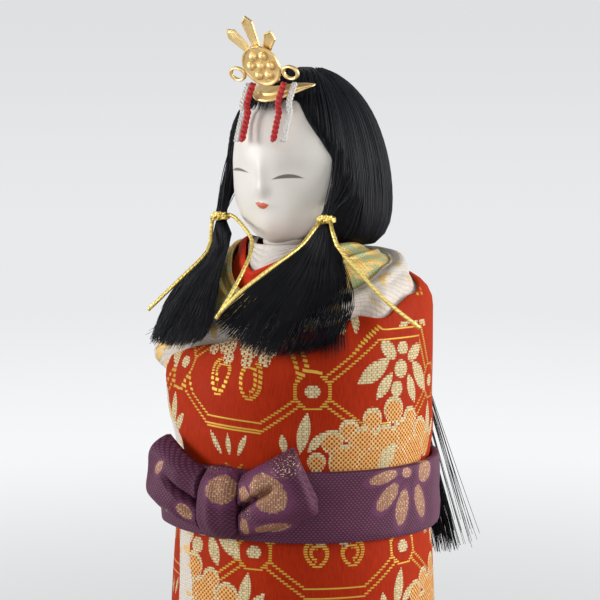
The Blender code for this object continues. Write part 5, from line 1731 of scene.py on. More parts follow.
@dataclass
class GoldTies:
    """Two gold paper cords, each wound round a lock, with two stiff free ends."""

    diameter: float = 0.0010
    turns: float = 2.2
    routes: dict[str, tuple[tuple[float, float, float], ...]] = field(default_factory=lambda: {
        "right_outer": (
            (-0.0024, -0.0009, -0.0004), (-0.0014, -0.0027, -0.0042), (0.0, -0.0062, -0.0089),
            (-0.0034, -0.0132, -0.0158), (-0.0091, -0.0192, -0.0236)),
        "right_inner": (
            (0.0025, -0.0005, 0.0004), (0.0063, -0.0022, -0.0003), (0.0121, -0.0052, -0.0034),
            (0.0155, -0.0077, -0.0057), (0.0170, -0.0102, -0.0085),
            (0.0179, -0.0152, -0.0134), (0.0174, -0.0202, -0.0193),
            (0.0159, -0.0232, -0.0241)),
        "left_inner": (
            (-0.0004, -0.0028, -0.0005), (-0.0012, -0.0072, -0.0046),
            (-0.0014, -0.0112, -0.0069), (-0.0040, -0.0177, -0.0110),
            (-0.0101, -0.0237, -0.0175), (-0.0143, -0.0262, -0.0227)),
        "left_outer": (
            (0.0020, -0.0017, -0.0004), (0.0057, -0.0042, -0.0061), (0.0107, -0.0037, -0.0113),
            (0.0178, -0.0017, -0.0189), (0.0254, 0.0028, -0.0260))})

    def ends(self) -> None:
        """The four free ends, each a free cord."""
        for name, route in self.routes.items():
            hand = Turn.LEFT if name.startswith("left") else Turn.RIGHT
            start = TIE.centre(hand)
            path = eased_route([start + Vector(point) for point in route],
                               self.diameter * 2.5)
            bundle = Bundle(f"gold_end_{name}", sides=14)
            bundle.add(path, tapering(self.diameter / 2))
            made = dress(bundle.build(), GOLD_CORD, "head",
                         f"tie_cord_{hand.name.lower()}_{name.split('_')[1]}")
            length = sum((b - a).length for a, b in zip(path, path[1:]))
            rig.cord(made, exit=tuple(path[0]), length=round(length, 4), diameter=self.diameter,
                    far_end="bare", stiffness="stiff", lay="loose", path=path)

    def knot(self, hand: Turn) -> None:
        """The turns round the lock, and the knot in front of it."""
        centre = TIE.centre(hand)
        reach = TIE.radius + self.diameter * 0.35
        coil = []
        for step in range(41):
            share = step / 40
            turn = math.tau * (self.turns * share + 0.75)
            rise = (share - 0.5) * self.diameter * 1.25
            coil.append(centre + Vector((math.cos(turn) * reach, math.sin(turn) * reach, rise)))
        front = centre + Vector((0, -reach - self.diameter * 0.5, 0))
        loop = []
        for step in range(25):
            turn = math.tau * step / 24
            loop.append(front + Vector((math.cos(turn) * self.diameter * 1.0,
                                        -0.25 * self.diameter * math.cos(turn * 2),
                                        math.sin(turn) * self.diameter * 0.75)))
        cross = [front + Vector((-0.0012, 0.0004, -0.0009)), front + Vector((0, -0.0006, 0)),
                 front + Vector((0.0013, 0.0003, 0.0010))]
        bundle = Bundle(f"gold_knot_{hand.name.lower()}", sides=10)
        for path in (coil, loop, eased_route(cross, self.diameter * 0.4)):
            bundle.add(path, tapering(self.diameter * 0.46))
        dress(bundle.build(), GOLD_CORD, "head", f"tie_knot_{hand.name.lower()}")

    def build(self) -> None:
        """Make the free ends and both knots."""
        self.ends()
        for hand in Turn:
            self.knot(hand)


# Robes and collars

@dataclass
class Robes:
    """The red robe over the cream one, wound and lapped left over right."""

    columns: int = 300
    rows: int = 96
    blouse: float = 0.0006
    fold: float = 0.0002
    cream_roll: float = 0.0021
    cream_band: float = 0.0072
    cream_limit: float = 0.0082
    cream_split: float = 0.6
    cream_rows: int = 84
    pattern_radius: float = 35.0
    pattern_start: float = 402.0

    def cloth_place(self, unwound: float, run: float) -> tuple[float, float]:
        """Where in the brocade's repeat a point of the robe lies, in millimetres."""
        along = self.pattern_radius * math.radians(unwound + self.pattern_start)
        level = run / MM
        tilt = 0.06 * smooth((45.0 - along) / 12.0) * (45.0 - along) * smooth((level - 88) / 12)
        return along, level - tilt

    def relief(self, unwound: float, run: float) -> float:
        """The cloth bags a little over the sash and keeps soft upright folds."""
        above = hump(run, FIGURE.sash_high + 0.0065, 0.0055)
        below = hump(run, FIGURE.sash_low - 0.0070, 0.0060)
        wave = noise.noise(Vector((unwound * 0.055, run * 55.0, 3.0)))
        return self.blouse * (above + 0.6 * below) + self.fold * wave

    def red(self) -> None:
        """The outer robe."""

        def column(across: float, up: float) -> tuple[float, float]:
            """Unwound angle and run."""
            rough = WINDING.column(across, FIGURE.shoulder, 0.0)
            top = FIGURE.run_at(body_angle(round(rough, 4)), WINDING.top_height(rough))
            run = mix(WINDING.hem_lift, top, up)
            return WINDING.column(across, run, 0.0), run

        def place(across: float, up: float) -> Vector:
            """Point of the robe's outer face."""
            unwound, run = column(across, up)
            offset = WINDING.red_inner(unwound, run) + WINDING.robe_cloth
            if unwound < -150.0:
                offset += self.relief(unwound, run)
            return FIGURE.point(round(body_angle(unwound), 4), run, offset)

        def weave(across: float, up: float) -> tuple[float, float]:
            """Place in the pattern."""
            return self.cloth_place(*column(across, up))

        made = grid_piece("red_robe", self.columns, self.rows, place, weave)
        thicken(made, WINDING.robe_cloth * 0.9, 0.0004)
        dress(made, RED_BROCADE, "body", "robe_outer")
        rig.sheet(made, flat=(0.255, 0.124), held="stretched", rests_on=("robe_under",))

    def cream(self) -> None:
        """The under-robe: a strip beside the lap, and a rolled collar."""

        def runs(across: float, up: float) -> tuple[float, float, float]:
            """Run, unwound angle and share of the collar's roll."""
            rough = WINDING.column(across, FIGURE.shoulder, WINDING.cream_shows)
            angle = round(body_angle(rough), 4)
            edge = FIGURE.run_at(angle, WINDING.top_height(rough))
            limit = FIGURE.neck_run(angle) - self.cream_limit
            shows = min(self.cream_band, limit - edge)
            if up <= self.cream_split:
                run, part = mix(WINDING.hem_lift, edge, up / self.cream_split), 0.0
            else:
                part = (up - self.cream_split) / (1 - self.cream_split)
                run = edge + shows * part
            return run, WINDING.column(across, run, WINDING.cream_shows), part

        def place(across: float, up: float) -> Vector:
            """Point of the robe's outer face."""
            run, unwound, part = runs(across, up)
            puff = mix(1.0, 1.5, smooth((abs(body_angle(unwound)) - 38.0) / 25.0))
            roll = self.cream_roll * puff * math.sin(math.pi * min(max(part - 0.05, 0.0), 0.88))
            roll += 0.0002 * part * noise.noise(Vector((unwound * 0.10, run * 160.0, 5.0)))
            offset = WINDING.cream_inner(unwound, run) + WINDING.under_cloth + roll
            return FIGURE.point(round(body_angle(unwound), 4), run, offset)

        def weave(across: float, up: float) -> tuple[float, float]:
            """Place in the pattern."""
            run, unwound, _ = runs(across, up)
            return self.cloth_place(unwound, run)

        made = grid_piece("cream_robe", self.columns, self.cream_rows, place, weave)
        thicken(made, WINDING.under_cloth * 0.9, 0.0003)
        dress(made, CREAM_BROCADE, "body", "robe_under")
        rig.sheet(made, flat=(0.262, 0.131), held="stretched", rests_on=("body_core",))

    def build(self) -> None:
        """Make both robes."""
        self.cream()
        self.red()


# Inner edges of the collars: degrees from the lap, then millimetres from the neck's axis and
# millimetres above the floor
RED_EDGE: EdgeTable = (
    (0.0, 14.5, 136.2), (40.0, 11.9, 140.6), (71.0, 12.0, 144.2), (100.0, 12.2, 143.6),
    (140.0, 12.0, 142.0), (180.0, 11.8, 141.6))
GREEN_EDGE: EdgeTable = (
    (0.0, 17.4, 130.6), (40.0, 15.4, 136.4), (71.0, 15.6, 141.6), (95.0, 16.2, 143.2),
    (140.0, 16.2, 142.6), (180.0, 15.6, 142.0))
FOLD_EDGE: EdgeTable = (
    (0.0, 18.8, 127.6), (40.0, 18.0, 133.4), (71.0, 19.6, 138.6), (95.0, 20.6, 140.9),
    (140.0, 20.6, 140.9), (180.0, 20.0, 140.4))


@dataclass
class Collar:
    """One folded collar that stands up round the neck, rolled at its inner edge."""

    name: str
    finish: Finish
    nodes: tuple[str, ...]
    edge: EdgeTable
    tuck: float
    belly: float
    flat: tuple[float, float]
    cloth: float = 0.0006
    roll: float = 0.0007
    roll_run: float = 0.0028
    lap: float = -6.0
    columns: int = 160
    rows: int = 24
    pattern_radius: float = 19.0
    pattern_level: float = 7.0

    def brim(self, angle: float) -> Vector:
        """Point of the inner edge."""
        off = abs((angle - self.lap + 180.0) % 360.0 - 180.0)
        reach = flow_table(tuple((turn, far) for turn, far, _ in self.edge), off) * MM
        height = flow_table(tuple((turn, high) for turn, _, high in self.edge), off) * MM
        turn = math.radians(angle)
        return Vector((reach * math.sin(turn),
                       -FIGURE.neck_forward - reach * math.cos(turn), height))

    def place(self, across: float, up: float) -> Vector:
        """Point of the outer face, from its tucked edge up to the brim."""
        angle = ring_angle(across)
        foot = FIGURE.point(angle, FIGURE.neck_run(angle) - self.tuck, self.cloth)
        out = (direction(angle) + Vector((0, 0, 0.7))).normalized()
        belly = self.belly * math.sin(math.pi * up) ** 0.8
        near = (up - 1) * self.tuck / self.roll_run + 1
        belly += self.roll * math.sin(math.pi * min(max(near, 0.0), 1.0) * 0.95)
        return foot.lerp(self.brim(angle), up) + out * belly

    def weave(self, across: float, up: float) -> tuple[float, float]:
        """Place in the pattern."""
        return (math.radians(ring_angle(across)) * self.pattern_radius,
                up * self.tuck / MM + self.pattern_level)

    def build(self) -> None:
        """Make the collar."""
        made = grid_piece(self.name, self.columns, self.rows, self.place, self.weave, ring=True)
        thicken(made, self.cloth * 0.85, 0.00015)
        dress(made, self.finish, "body", *self.nodes)
        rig.sheet(made, flat=self.flat, held="folded", rests_on=("body_core",))


@dataclass
class NeckWrap:
    """White silk wound round the neck in fine pleats, open towards the red collar."""

    radius: float = 0.0091
    pleat: float = 0.00022
    pleats: int = 5
    top: float = 0.1427
    behind: float = 0.0008
    below: float = 0.0006
    silk: tuple[float, float] = (66.0, 12.0)

    def place(self, across: float, up: float) -> Vector:
        """Point of the pleated face."""
        angle = ring_angle(across)
        out = direction(angle)
        foot = RED_COLLAR.brim(angle) - out * self.behind - Vector((0, 0, self.below))
        head = out * self.radius + Vector((0, -FIGURE.neck_forward,
                                           max(self.top, foot.z + 0.0004)))
        crest = self.pleat * abs(math.sin(math.pi * self.pleats * up))
        return foot.lerp(head, up) + (out + Vector((0, 0, 0.5))) * crest

    def build(self) -> None:
        """Make the pleated band."""

        def weave(across: float, up: float) -> tuple[float, float]:
            """Place on the silk."""
            return across * self.silk[0], up * self.silk[1]

        made = grid_piece("pleated_neck_silk", 120, self.pleats * 10, self.place, weave, ring=True)
        thicken(made, 0.0002)
        dress(made, WHITE_SILK, "body", "neck_wrap")
        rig.sheet(made, flat=(0.066, 0.010), held="gathered", rests_on=("body_core",), area=0.00045)


GREEN_COLLAR = Collar("green_collar", GREEN_BROCADE, ("collar_green",), GREEN_EDGE, 0.0175, 0.0016,
                      (0.141, 0.016))
GREEN_FOLD = Collar("green_collar_fold", GREEN_BROCADE, (), FOLD_EDGE, 0.0180, 0.0022,
                    (0.156, 0.013))
RED_COLLAR = Collar("red_collar", RED_SILK, ("collar_red",), RED_EDGE, 0.0078, 0.0007,
                    (0.102, 0.010))


# Sash and bow

@dataclass
class Sash:
    """Folded purple band with its bow of a knot and two wings."""

    cloth: float = 0.0027
    ramp: float = 26.0
    pattern_radius: float = 35.0
    knot_angle: float = 3.0
    knot_half_width: float = 0.0053
    knot_half_height: float = 0.0098
    knot_depth: float = 0.0072
    knot_lift: float = 0.0008
    wing_depth: float = 0.0062
    wing_fold: float = 0.0036
    wing_shapes: dict[Turn, tuple[float, float, float]] = field(default_factory=lambda: {
        Turn.LEFT: (0.0202, 0.70, 0.0088), Turn.RIGHT: (0.0196, 0.78, 0.0072)})

    def inner(self, angle: float) -> float:
        """Inner face, on the robe, with an even ramp where the laps begin."""
        height = FIGURE.sash_middle
        upper = WINDING.red_inner(angle - 360.0, height)
        lower = WINDING.red_inner(angle, height)
        edge = WINDING.edge(height) + 360.0 - WINDING.cream_shows
        climb = smooth((angle - edge) / self.ramp + 1.0)
        return mix(lower, upper, climb) + WINDING.robe_cloth + SEAM_GAP

    def outer(self, angle: float) -> float:
        """Outer face of the flat band."""
        return self.inner(angle) + self.cloth

    def band(self) -> None:
        """The flat band."""

        def level(up: float) -> float:
            """Height round the section, from the low edge up and down again."""
            share = -math.cos(math.tau * up)
            share = math.copysign(abs(share) ** 0.55, share)
            return FIGURE.sash_middle + FIGURE.sash_half * share

        def place(across: float, up: float) -> Vector:
            """Round the section from the inner face over the edges to the outer face."""
            angle = ring_angle(across)
            face = math.sin(math.tau * up)
            depth = math.copysign(abs(face) ** 0.35, face)
            height = level(up)
            fold = noise.noise(Vector((angle * 0.045 + height * 160, height * 260, 7.0)))
            ease = 0.00028 * fold * (depth > 0)
            offset = self.inner(angle) + self.cloth * (0.5 + 0.5 * depth) + ease
            return FIGURE.point(angle, height, offset)

        def weave(across: float, up: float) -> tuple[float, float]:
            """Place on the brocade: arc from the front, and height on the face."""
            return math.radians(ring_angle(across)) * self.pattern_radius, level(up) / MM

        made = grid_piece("purple_sash", 300, 48, place, weave, ring=True)
        dress(made, PURPLE_BROCADE, "body", "sash")
        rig.sheet(made, flat=(0.235, 0.0176), held="folded", rests_on=("robe_outer",))

    def bow_angle(self, reach: float) -> float:
        """Angle round the body at a distance from the knot, along the sash."""
        return self.knot_angle + math.degrees(reach / (FIGURE.half_depth + self.knot_depth))

    def pillow(self, name: str, node: str, columns: int, rows: int,
               face: Callable[[float, float], tuple[float, float, float]]) -> None:
        """A closed pillow on the sash.

        Args:
            name: the piece's name.
            node: the solid it stands for.
            columns: cells across its front.
            rows: cells up its front.
            face: angle, height and depth over the sash at two shares.
        """

        def place(across: float, up: float) -> Vector:
            """Point of the pillow's face."""
            angle, height, depth = face(across, up)
            back = self.outer(round(angle, 4)) + SEAM_GAP
            return FIGURE.point(round(angle, 4), height, back + depth)

        def weave(across: float, up: float) -> tuple[float, float]:
            """Place on the brocade."""
            angle, height, _ = face(across, up)
            return angle / 1.55, height / MM

        made = grid_piece(name, columns, rows, place, weave)
        with editing(made) as form:
            rim = [edge for edge in form.edges if edge.is_boundary]
            walls = bmesh.ops.extrude_edge_only(form, edges=rim)["geom"]
            for vertex in [one for one in walls if isinstance(one, bmesh.types.BMVert)]:
                angle = round(FIGURE.angle_of(vertex.co), 4)
                seat = FIGURE.point(angle, vertex.co.z, self.outer(angle) + SEAM_GAP)
                share = math.hypot(seat.x, seat.y) / math.hypot(vertex.co.x, vertex.co.y)
                vertex.co.x *= share
                vertex.co.y *= share
            close_up(form)
            bmesh.ops.recalc_face_normals(form, faces=form.faces)
        dress(made, PURPLE_BROCADE, "body", node)
        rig.padded(made, fill=0.5)

    def knot(self) -> None:
        """Middle of the bow, pleated down its length."""

        def face(across: float, up: float) -> tuple[float, float, float]:
            """Angle, height and depth."""
            side, level = 2 * across - 1, 2 * up - 1
            narrow = math.sqrt(1 - 0.55 * side ** 4)
            height = FIGURE.sash_middle + self.knot_lift
            height += level * self.knot_half_height * narrow * 0.92
            plump = (1 - abs(level) ** 3) * (1 - 0.75 * abs(side) ** 3)
            pleat = 0.05 * math.cos(side * math.pi * 2.5 + level)
            lift = mix(0.25, 1.0, plump) + pleat * plump
            wide = self.knot_half_width * mix(0.95, 0.84, up)
            return self.bow_angle(side * wide + 0.0004 * level), height, self.knot_depth * lift

        self.pillow("bow_middle", "bow_knot", 48, 60, face)

    def wing(self, hand: Turn) -> None:
        """One wing: from the knot to its slanted end, creased along the middle."""
        root = self.knot_half_width + 2 * SEAM_GAP - 0.0004
        length, top_share, end_low = self.wing_shapes[hand]

        def face(reach: float, up: float) -> tuple[float, float, float]:
            """Angle, height and depth."""
            end = 1 - smooth((reach - 0.85) / 0.15) * 0.12
            low = FIGURE.sash_low + mix(0.0016, end_low, reach ** 1.2)
            high = FIGURE.sash_high + mix(-0.0006, 0.0079, reach)
            corner = 0.0022 * smooth((reach - 0.82) / 0.18)
            slant = mix(1.0, top_share, up) * end
            angle = self.bow_angle(hand.value * (root + length * reach * slant))
            height = mix(low + corner, high - corner, up)
            edge = 1 - abs(2 * up - 1) ** 5
            tip = 1 - 0.7 * smooth((reach - 0.8) / 0.2)
            start = mix(0.65, 1.0, smooth(reach / 0.3))
            lift = mix(0.18, 1.0, edge) * tip * start
            crease = hump(up, 0.46 + 0.42 * reach * (1 - 0.6 * reach), 0.050)
            crease *= 1 - smooth((reach - 0.28) / 0.30)
            fold = noise.noise(Vector((reach * 3.0 * hand.value, up * 3.0 + reach * 2, 1.5)))
            depth = self.wing_depth * lift - self.wing_fold * crease
            return angle, height, depth + 0.0007 * fold * edge * tip

        side = hand.name.lower()
        self.pillow(f"bow_side_{side}", f"bow_wing_{side}", 72, 60, face)

    def build(self) -> None:
        """Make the band and the bow."""
        self.band()
        self.knot()
        for hand in Turn:
            self.wing(hand)


# Head and hair

@dataclass
class Head:
    """White head, with its face painted."""

    columns: int = 180
    rows: int = 120
    closeness: float = 0.45
    neck_radius: float = 0.0072
    neck_tall: float = 0.0060

    def build(self) -> None:
        """Make the head with a stub of neck."""

        def place_on(across: float, up: float) -> tuple[float, float]:
            """Turn from the front, closer set at the face, and share of the height."""
            even = math.tau * across - math.pi
            return even - self.closeness * math.sin(even), mix(0.004, 0.997, up)

        def place(across: float, up: float) -> Vector:
            """Point of the head."""
            return SKULL.point(*place_on(across, up))

        def weave(across: float, up: float) -> tuple[float, float]:
            """Turn in degrees over the face, and height in hundredths."""
            turn, level = place_on(across, up)
            return math.degrees(turn), level * 100

        made = grid_piece("painted_head", self.columns, self.rows, place, weave, ring=True)
        with editing(made) as form:
            close_up(form)
        dress(made, SHELL_WHITE, "head", "head")
        deselect_all()
        bpy.ops.mesh.primitive_cylinder_add(
            radius=self.neck_radius, depth=self.neck_tall, vertices=64, end_fill_type="TRIFAN",
            location=(0, -FIGURE.neck_forward, FIGURE.neck_top + self.neck_tall / 2))
        neck = bpy.context.object
        neck.name = "head_neck"
        settle(neck)
        neck.data.shade_smooth()
        dress(neck, SHELL_WHITE, "head")


@dataclass
class CombedCap:
    """Hair combed down all round from the crown of the head, open in front of the face."""

    strands: int = 1600
    strand_radius: float = 0.00012
    fringe: int = 90
    window: float = 0.0148
    line_low: float = 0.1635
    line_high: float = 0.1797
    low_edge_left: float = 70.0
    low_edge_right: float = 94.0
    low_edge_top: float = 0.1500
    low_edge_run: float = 0.012
    rise: float = 13.0
    ground: float = 0.0010

    def edge(self, height: float, hand: Turn) -> float:
        """Angle from the front where the hair begins at a height, on one side."""
        if height >= self.line_high:
            return 0.0
        share = (height - self.line_low) / (self.line_high - self.line_low)
        half = self.window * read_table(CAP.line, share, ease=False)
        reach = CAP.half_width * flow_table(CAP.reaches, (height - CAP.low) / CAP.tall)
        turn = math.degrees(math.asin(min(half / reach, 1.0)))
        low = self.low_edge_left if hand is Turn.LEFT else self.low_edge_right
        return mix(low, turn, smooth((height - self.low_edge_top) / self.low_edge_run))

    def surface(self, angle: float, up: float, offset: float) -> tuple[Vector, float]:
        """Point of the hair at an angle and a share of its height.

        Args:
            angle: from the front.
            up: share of the cap's height.
            offset: how far outside the cap's form.

        Returns:
            The point, and how deep in the hair it is: below 0 it is bare face.
        """
        full = CAP.point(math.radians(angle), up, offset)
        edge = self.edge(full.z, Turn.LEFT if angle > 0 else Turn.RIGHT)
        depth = (abs(angle) - edge) / self.rise
        if full.z >= self.line_high - 0.0005:
            depth = max(depth * 0.2, 0.0) + (full.z - self.line_high) / 0.0045
        skull_up = min(max((full.z - SKULL.chin) / SKULL.tall, 0.01), 0.985)
        skull = SKULL.point(math.radians(angle), skull_up, 0.0003)
        if full.z > SKULL.chin + SKULL.tall:
            return full, depth
        share = smooth(0.25 + depth * 0.75)
        return skull.lerp(full, share), depth

    def base(self) -> None:
        """Dark mass of hair that the strands lie on."""

        def place(across: float, up: float) -> Vector:
            """Point just under the strands."""
            level = 0.5 - 0.5 * math.cos(math.pi * mix(0.02, 0.98, up))
            height = CAP.low + CAP.tall * level
            start = max(self.edge(height, Turn.LEFT), 0.0)
            angle = mix(start, 360.0 - max(self.edge(height, Turn.RIGHT), 0.0), across)
            if angle > 180.0:
                angle -= 360.0
            if start == 0.0 and across in (0.0, 1.0):
                angle = 0.0
            return self.surface(angle, level, -0.0003)[0]

        def weave(across: float, up: float) -> tuple[float, float]:
            """Along the strands, and round the head."""
            return up * 60.0, across * 150.0

        made = grid_piece("hair_ground", 220, 80, place, weave)
        shell = made.modifiers.new("depth", "SOLIDIFY")
        shell.thickness = self.ground
        shell.offset = -1.0
        settle(made)
        made.data.shade_smooth()
        dress(made, HAIR, "head", "hair_cap")

    def comb(self) -> None:
        """The strands themselves."""
        rng = random.Random(11)
        bundle = Bundle("hair_strands")
        for step in range(self.strands):
            angle = 360.0 * (step + rng.random()) / self.strands - 180.0
            lift = rng.uniform(-0.0001, 0.00030)
            sweep = rng.uniform(-2.0, 2.0)
            top = rng.uniform(0.90, 0.985)
            path = []
            count = 19
            for place in range(count + 1):
                share = place / count
                level = top * math.cos(share * math.pi / 2) ** 1.15
                turned = angle + sweep * math.sin(share * math.pi)
                point, depth = self.surface(turned, level, lift)
                if depth < -0.02 and abs(turned) < 100:
                    break
                path.append(point)
            if len(path) > 3:
                bundle.add(path, tapering(self.strand_radius, 0.5, 6), rng.random(), flat=0.7)
        for _ in range(self.fringe):
            x = rng.uniform(-0.0052, 0.0046)
            top = self.line_high + 0.0008
            low = top - rng.uniform(0.0024, 0.0038)
            path = [Vector((x, CAP.front(x, height) - 0.0002, height))
                    for height in (top, mix(top, low, 0.35), mix(top, low, 0.7), low)]
            bundle.add(path, tapering(self.strand_radius, 0.6), rng.random())
        dress(bundle.build(), HAIR, "head")

    def build(self) -> None:
        """Make the ground and the strands."""
        self.base()
        self.comb()


@dataclass
class SideLock:
    """One lock: from the temple to its tie, and its loose end spread over the chest."""

    hand: Turn
    lean: float
    top_angle: float = 76.0
    top_height: float = 0.1630
    spread: float = 0.0150
    deep: float = 0.0042
    inner_lift: float = 0.0010
    low: float = 0.1176
    bulge: float = 0.0015
    lean_share: float = 1.3
    full_share: float = 0.46
    strands: int = 1250
    temple_strands: int = 420
    top_room: float = 14.0
    strand_radius: float = 0.00010
    cloth_room: float = 0.0034

    def chest(self, angle: float) -> float:
        """Offset of the chest's uppermost cloth."""
        cream = WINDING.cream_inner(angle - 360.0, FIGURE.shoulder) + WINDING.under_cloth
        return cream + self.cloth_room

    @lru_cache(maxsize=20000)
    def chest_point(self, angle: float, height: float, offset: float) -> Vector:
        """Point over the chest at a height."""
        run = FIGURE.run_at(angle, height)
        for _ in range(2):
            tilt = FIGURE.outline(angle, run)[2]
            run = FIGURE.run_at(angle, height - offset * math.sin(tilt))
        return FIGURE.point(angle, run, offset)

    def kept_off(self, place: Vector, extra: float) -> Vector:
        """The same place, moved out where it would lie inside the clothed chest."""
        angle = round(FIGURE.angle_of(place), 0)
        cloth = self.chest_point(angle, round(place.z, 4), round(self.chest(angle) + extra, 4))
        reach = math.hypot(cloth.x, cloth.y)
        here = math.hypot(place.x, place.y)
        if here >= reach:
            return place
        return Vector((place.x * reach / here, place.y * reach / here, place.z))

    def hang(self, across: float, out: float, share: float) -> Vector:
        """Point of the loose end.

        Args:
            across: from -1 to 1 over its width.
            out: from 0, on the chest, to 1.
            share: from the tie down to its end.

        Returns:
            The point.
        """
        tie = TIE.centre(self.hand) - Vector((0, 0, TIE.cord + TIE.gap))
        height = mix(tie.z, self.low, share)
        turn_width = math.degrees(self.spread / (FIGURE.half_depth + self.deep))
        middle = self.chest_point(self.lean, round(height, 4),
                                  round(self.chest(self.lean) + self.deep / 2, 4))
        spine = tie.lerp(middle, share ** self.lean_share)
        angle = round(self.lean + across * turn_width, 0)
        depth = self.deep * out
        hung = self.chest_point(angle, round(height, 4), round(self.chest(angle) + depth, 4))
        close = Vector((across * TIE.radius, (0.5 - out) * 2 * TIE.radius, 0))
        place = spine + close.lerp(hung - middle, max(share, 0.0) ** self.full_share)
        inner = min(across * self.hand.value, 0.0) ** 2
        place.z = height + (self.bulge * across ** 2 + self.inner_lift * inner) * share
        return self.kept_off(place, depth * share)

    def loose_end(self) -> None:
        """Strands below the tie."""
        rng = random.Random(21 + self.hand.value)
        bundle = Bundle(f"tassel_strands_{self.hand.name.lower()}")
        for _ in range(self.strands):
            across = rng.uniform(-1, 1)
            room = math.sqrt(max(1 - across * across, 0.0))
            out = 0.5 + 0.5 * room * rng.uniform(-0.75, 1.0)
            end = rng.uniform(0.955, 1.02) if rng.random() > 0.04 else rng.uniform(1.02, 1.06)
            drift = rng.uniform(-0.07, 0.07)
            path = []
            for step in range(10):
                share = end * step / 9
                side = across + drift * share ** 2
                path.append(self.hang(side, out, share))
            bundle.add(path, tapering(self.strand_radius, 0.45, 4), rng.random())
        dress(bundle.build(), HAIR, "head", f"tassel_{self.hand.name.lower()}")

    def temple(self) -> None:
        """Strands from the temple down to the tie."""
        rng = random.Random(31 + self.hand.value)
        tie = TIE.centre(self.hand)
        cap = CombedCap()
        bundle = Bundle(f"lock_strands_{self.hand.name.lower()}")
        for _ in range(self.temple_strands):
            angle = self.top_angle + rng.uniform(-self.top_room, self.top_room)
            height = self.top_height + rng.uniform(-0.002, 0.009)
            up = (height - CAP.low) / CAP.tall
            start, _ = cap.surface(self.hand.value * angle, up, rng.uniform(-0.0012, 0.0002))
            turn = rng.uniform(0, math.tau)
            reach = TIE.radius * math.sqrt(rng.random())
            end = tie + Vector((math.cos(turn) * reach, math.sin(turn) * reach, -0.0012))
            neck = tie + Vector((math.cos(turn) * reach, math.sin(turn) * reach, 0.0014))
            bow = Vector((self.hand.value * rng.uniform(0.0002, 0.0012),
                          rng.uniform(0.0002, 0.0022), 0))
            middle = start.lerp(neck, 0.5) + bow
            path = eased_route([start, middle, neck, end], 0.0013)
            bundle.add(path, tapering(self.strand_radius * 1.15), rng.random())
        dress(bundle.build(), HAIR, "head", f"side_lock_{self.hand.name.lower()}")

    def build(self) -> None:
        """Make both parts of the lock."""
        self.temple()
        self.loose_end()

    def __hash__(self) -> int:
        """Tell the two locks apart where their points are remembered."""
        return hash(self.hand)


@dataclass
class Tail:
    """Long back hair, fanned out flat behind the robe."""

    drop: float = 0.0200
    long: float = 0.0860
    top_radius: float = 0.0028
    spread: float = 23.5
    thickness: float = 0.0032
    curve: float = 0.0030
    gap: float = 0.0006
    strands: int = 2000
    strand_radius: float = 0.00012

    def place(self, across: float, out: float, share: float) -> Vector:
        """Point of the tail at shares of its width, thickness and length."""
        back = FIGURE.point(180.0, FIGURE.sash_middle, SASH.outer(180.0)).y + self.gap
        nape = CAP.back + CAP.half_depth * CAP.reaches[0][1] - self.thickness
        swing = math.radians(self.spread * across)
        length = self.long * share
        x = length * math.sin(swing) + self.top_radius * across
        z = CAP.low - SEAM_GAP - length * math.cos(swing)
        hang = min(max((CAP.low - SEAM_GAP - z) / self.drop, 0.0), 1.0)
        y = mix(nape, back, math.sqrt(1 - (1 - hang) ** 2)) - self.curve * across ** 2 * share
        thick = self.thickness * mix(1.0, 0.6, share) * (1 - 0.6 * abs(across) ** 3)
        return Vector((x, y + thick * out, z))

    def build(self) -> None:
        """Make the strands."""
        rng = random.Random(41)
        bundle = Bundle("tail_strands")
        for _ in range(self.strands):
            across = rng.uniform(-0.74, 0.74) if rng.random() > 0.07 else rng.uniform(-1, 1)
            out = rng.uniform(0.04, 0.96)
            end = rng.uniform(0.93, 1.02)
            drift = rng.uniform(-0.06, 0.06)
            path = []
            for step in range(12):
                share = (end * step / 11) ** 1.15
                side = min(max(across + drift * share ** 2, -1.03), 1.03)
                path.append(self.place(side, out, share))
            bundle.add(path, tapering(self.strand_radius, 0.45, 4), rng.random())
        dress(bundle.build(), HAIR, "head", "hair_tail")


SASH = Sash()


# Crown

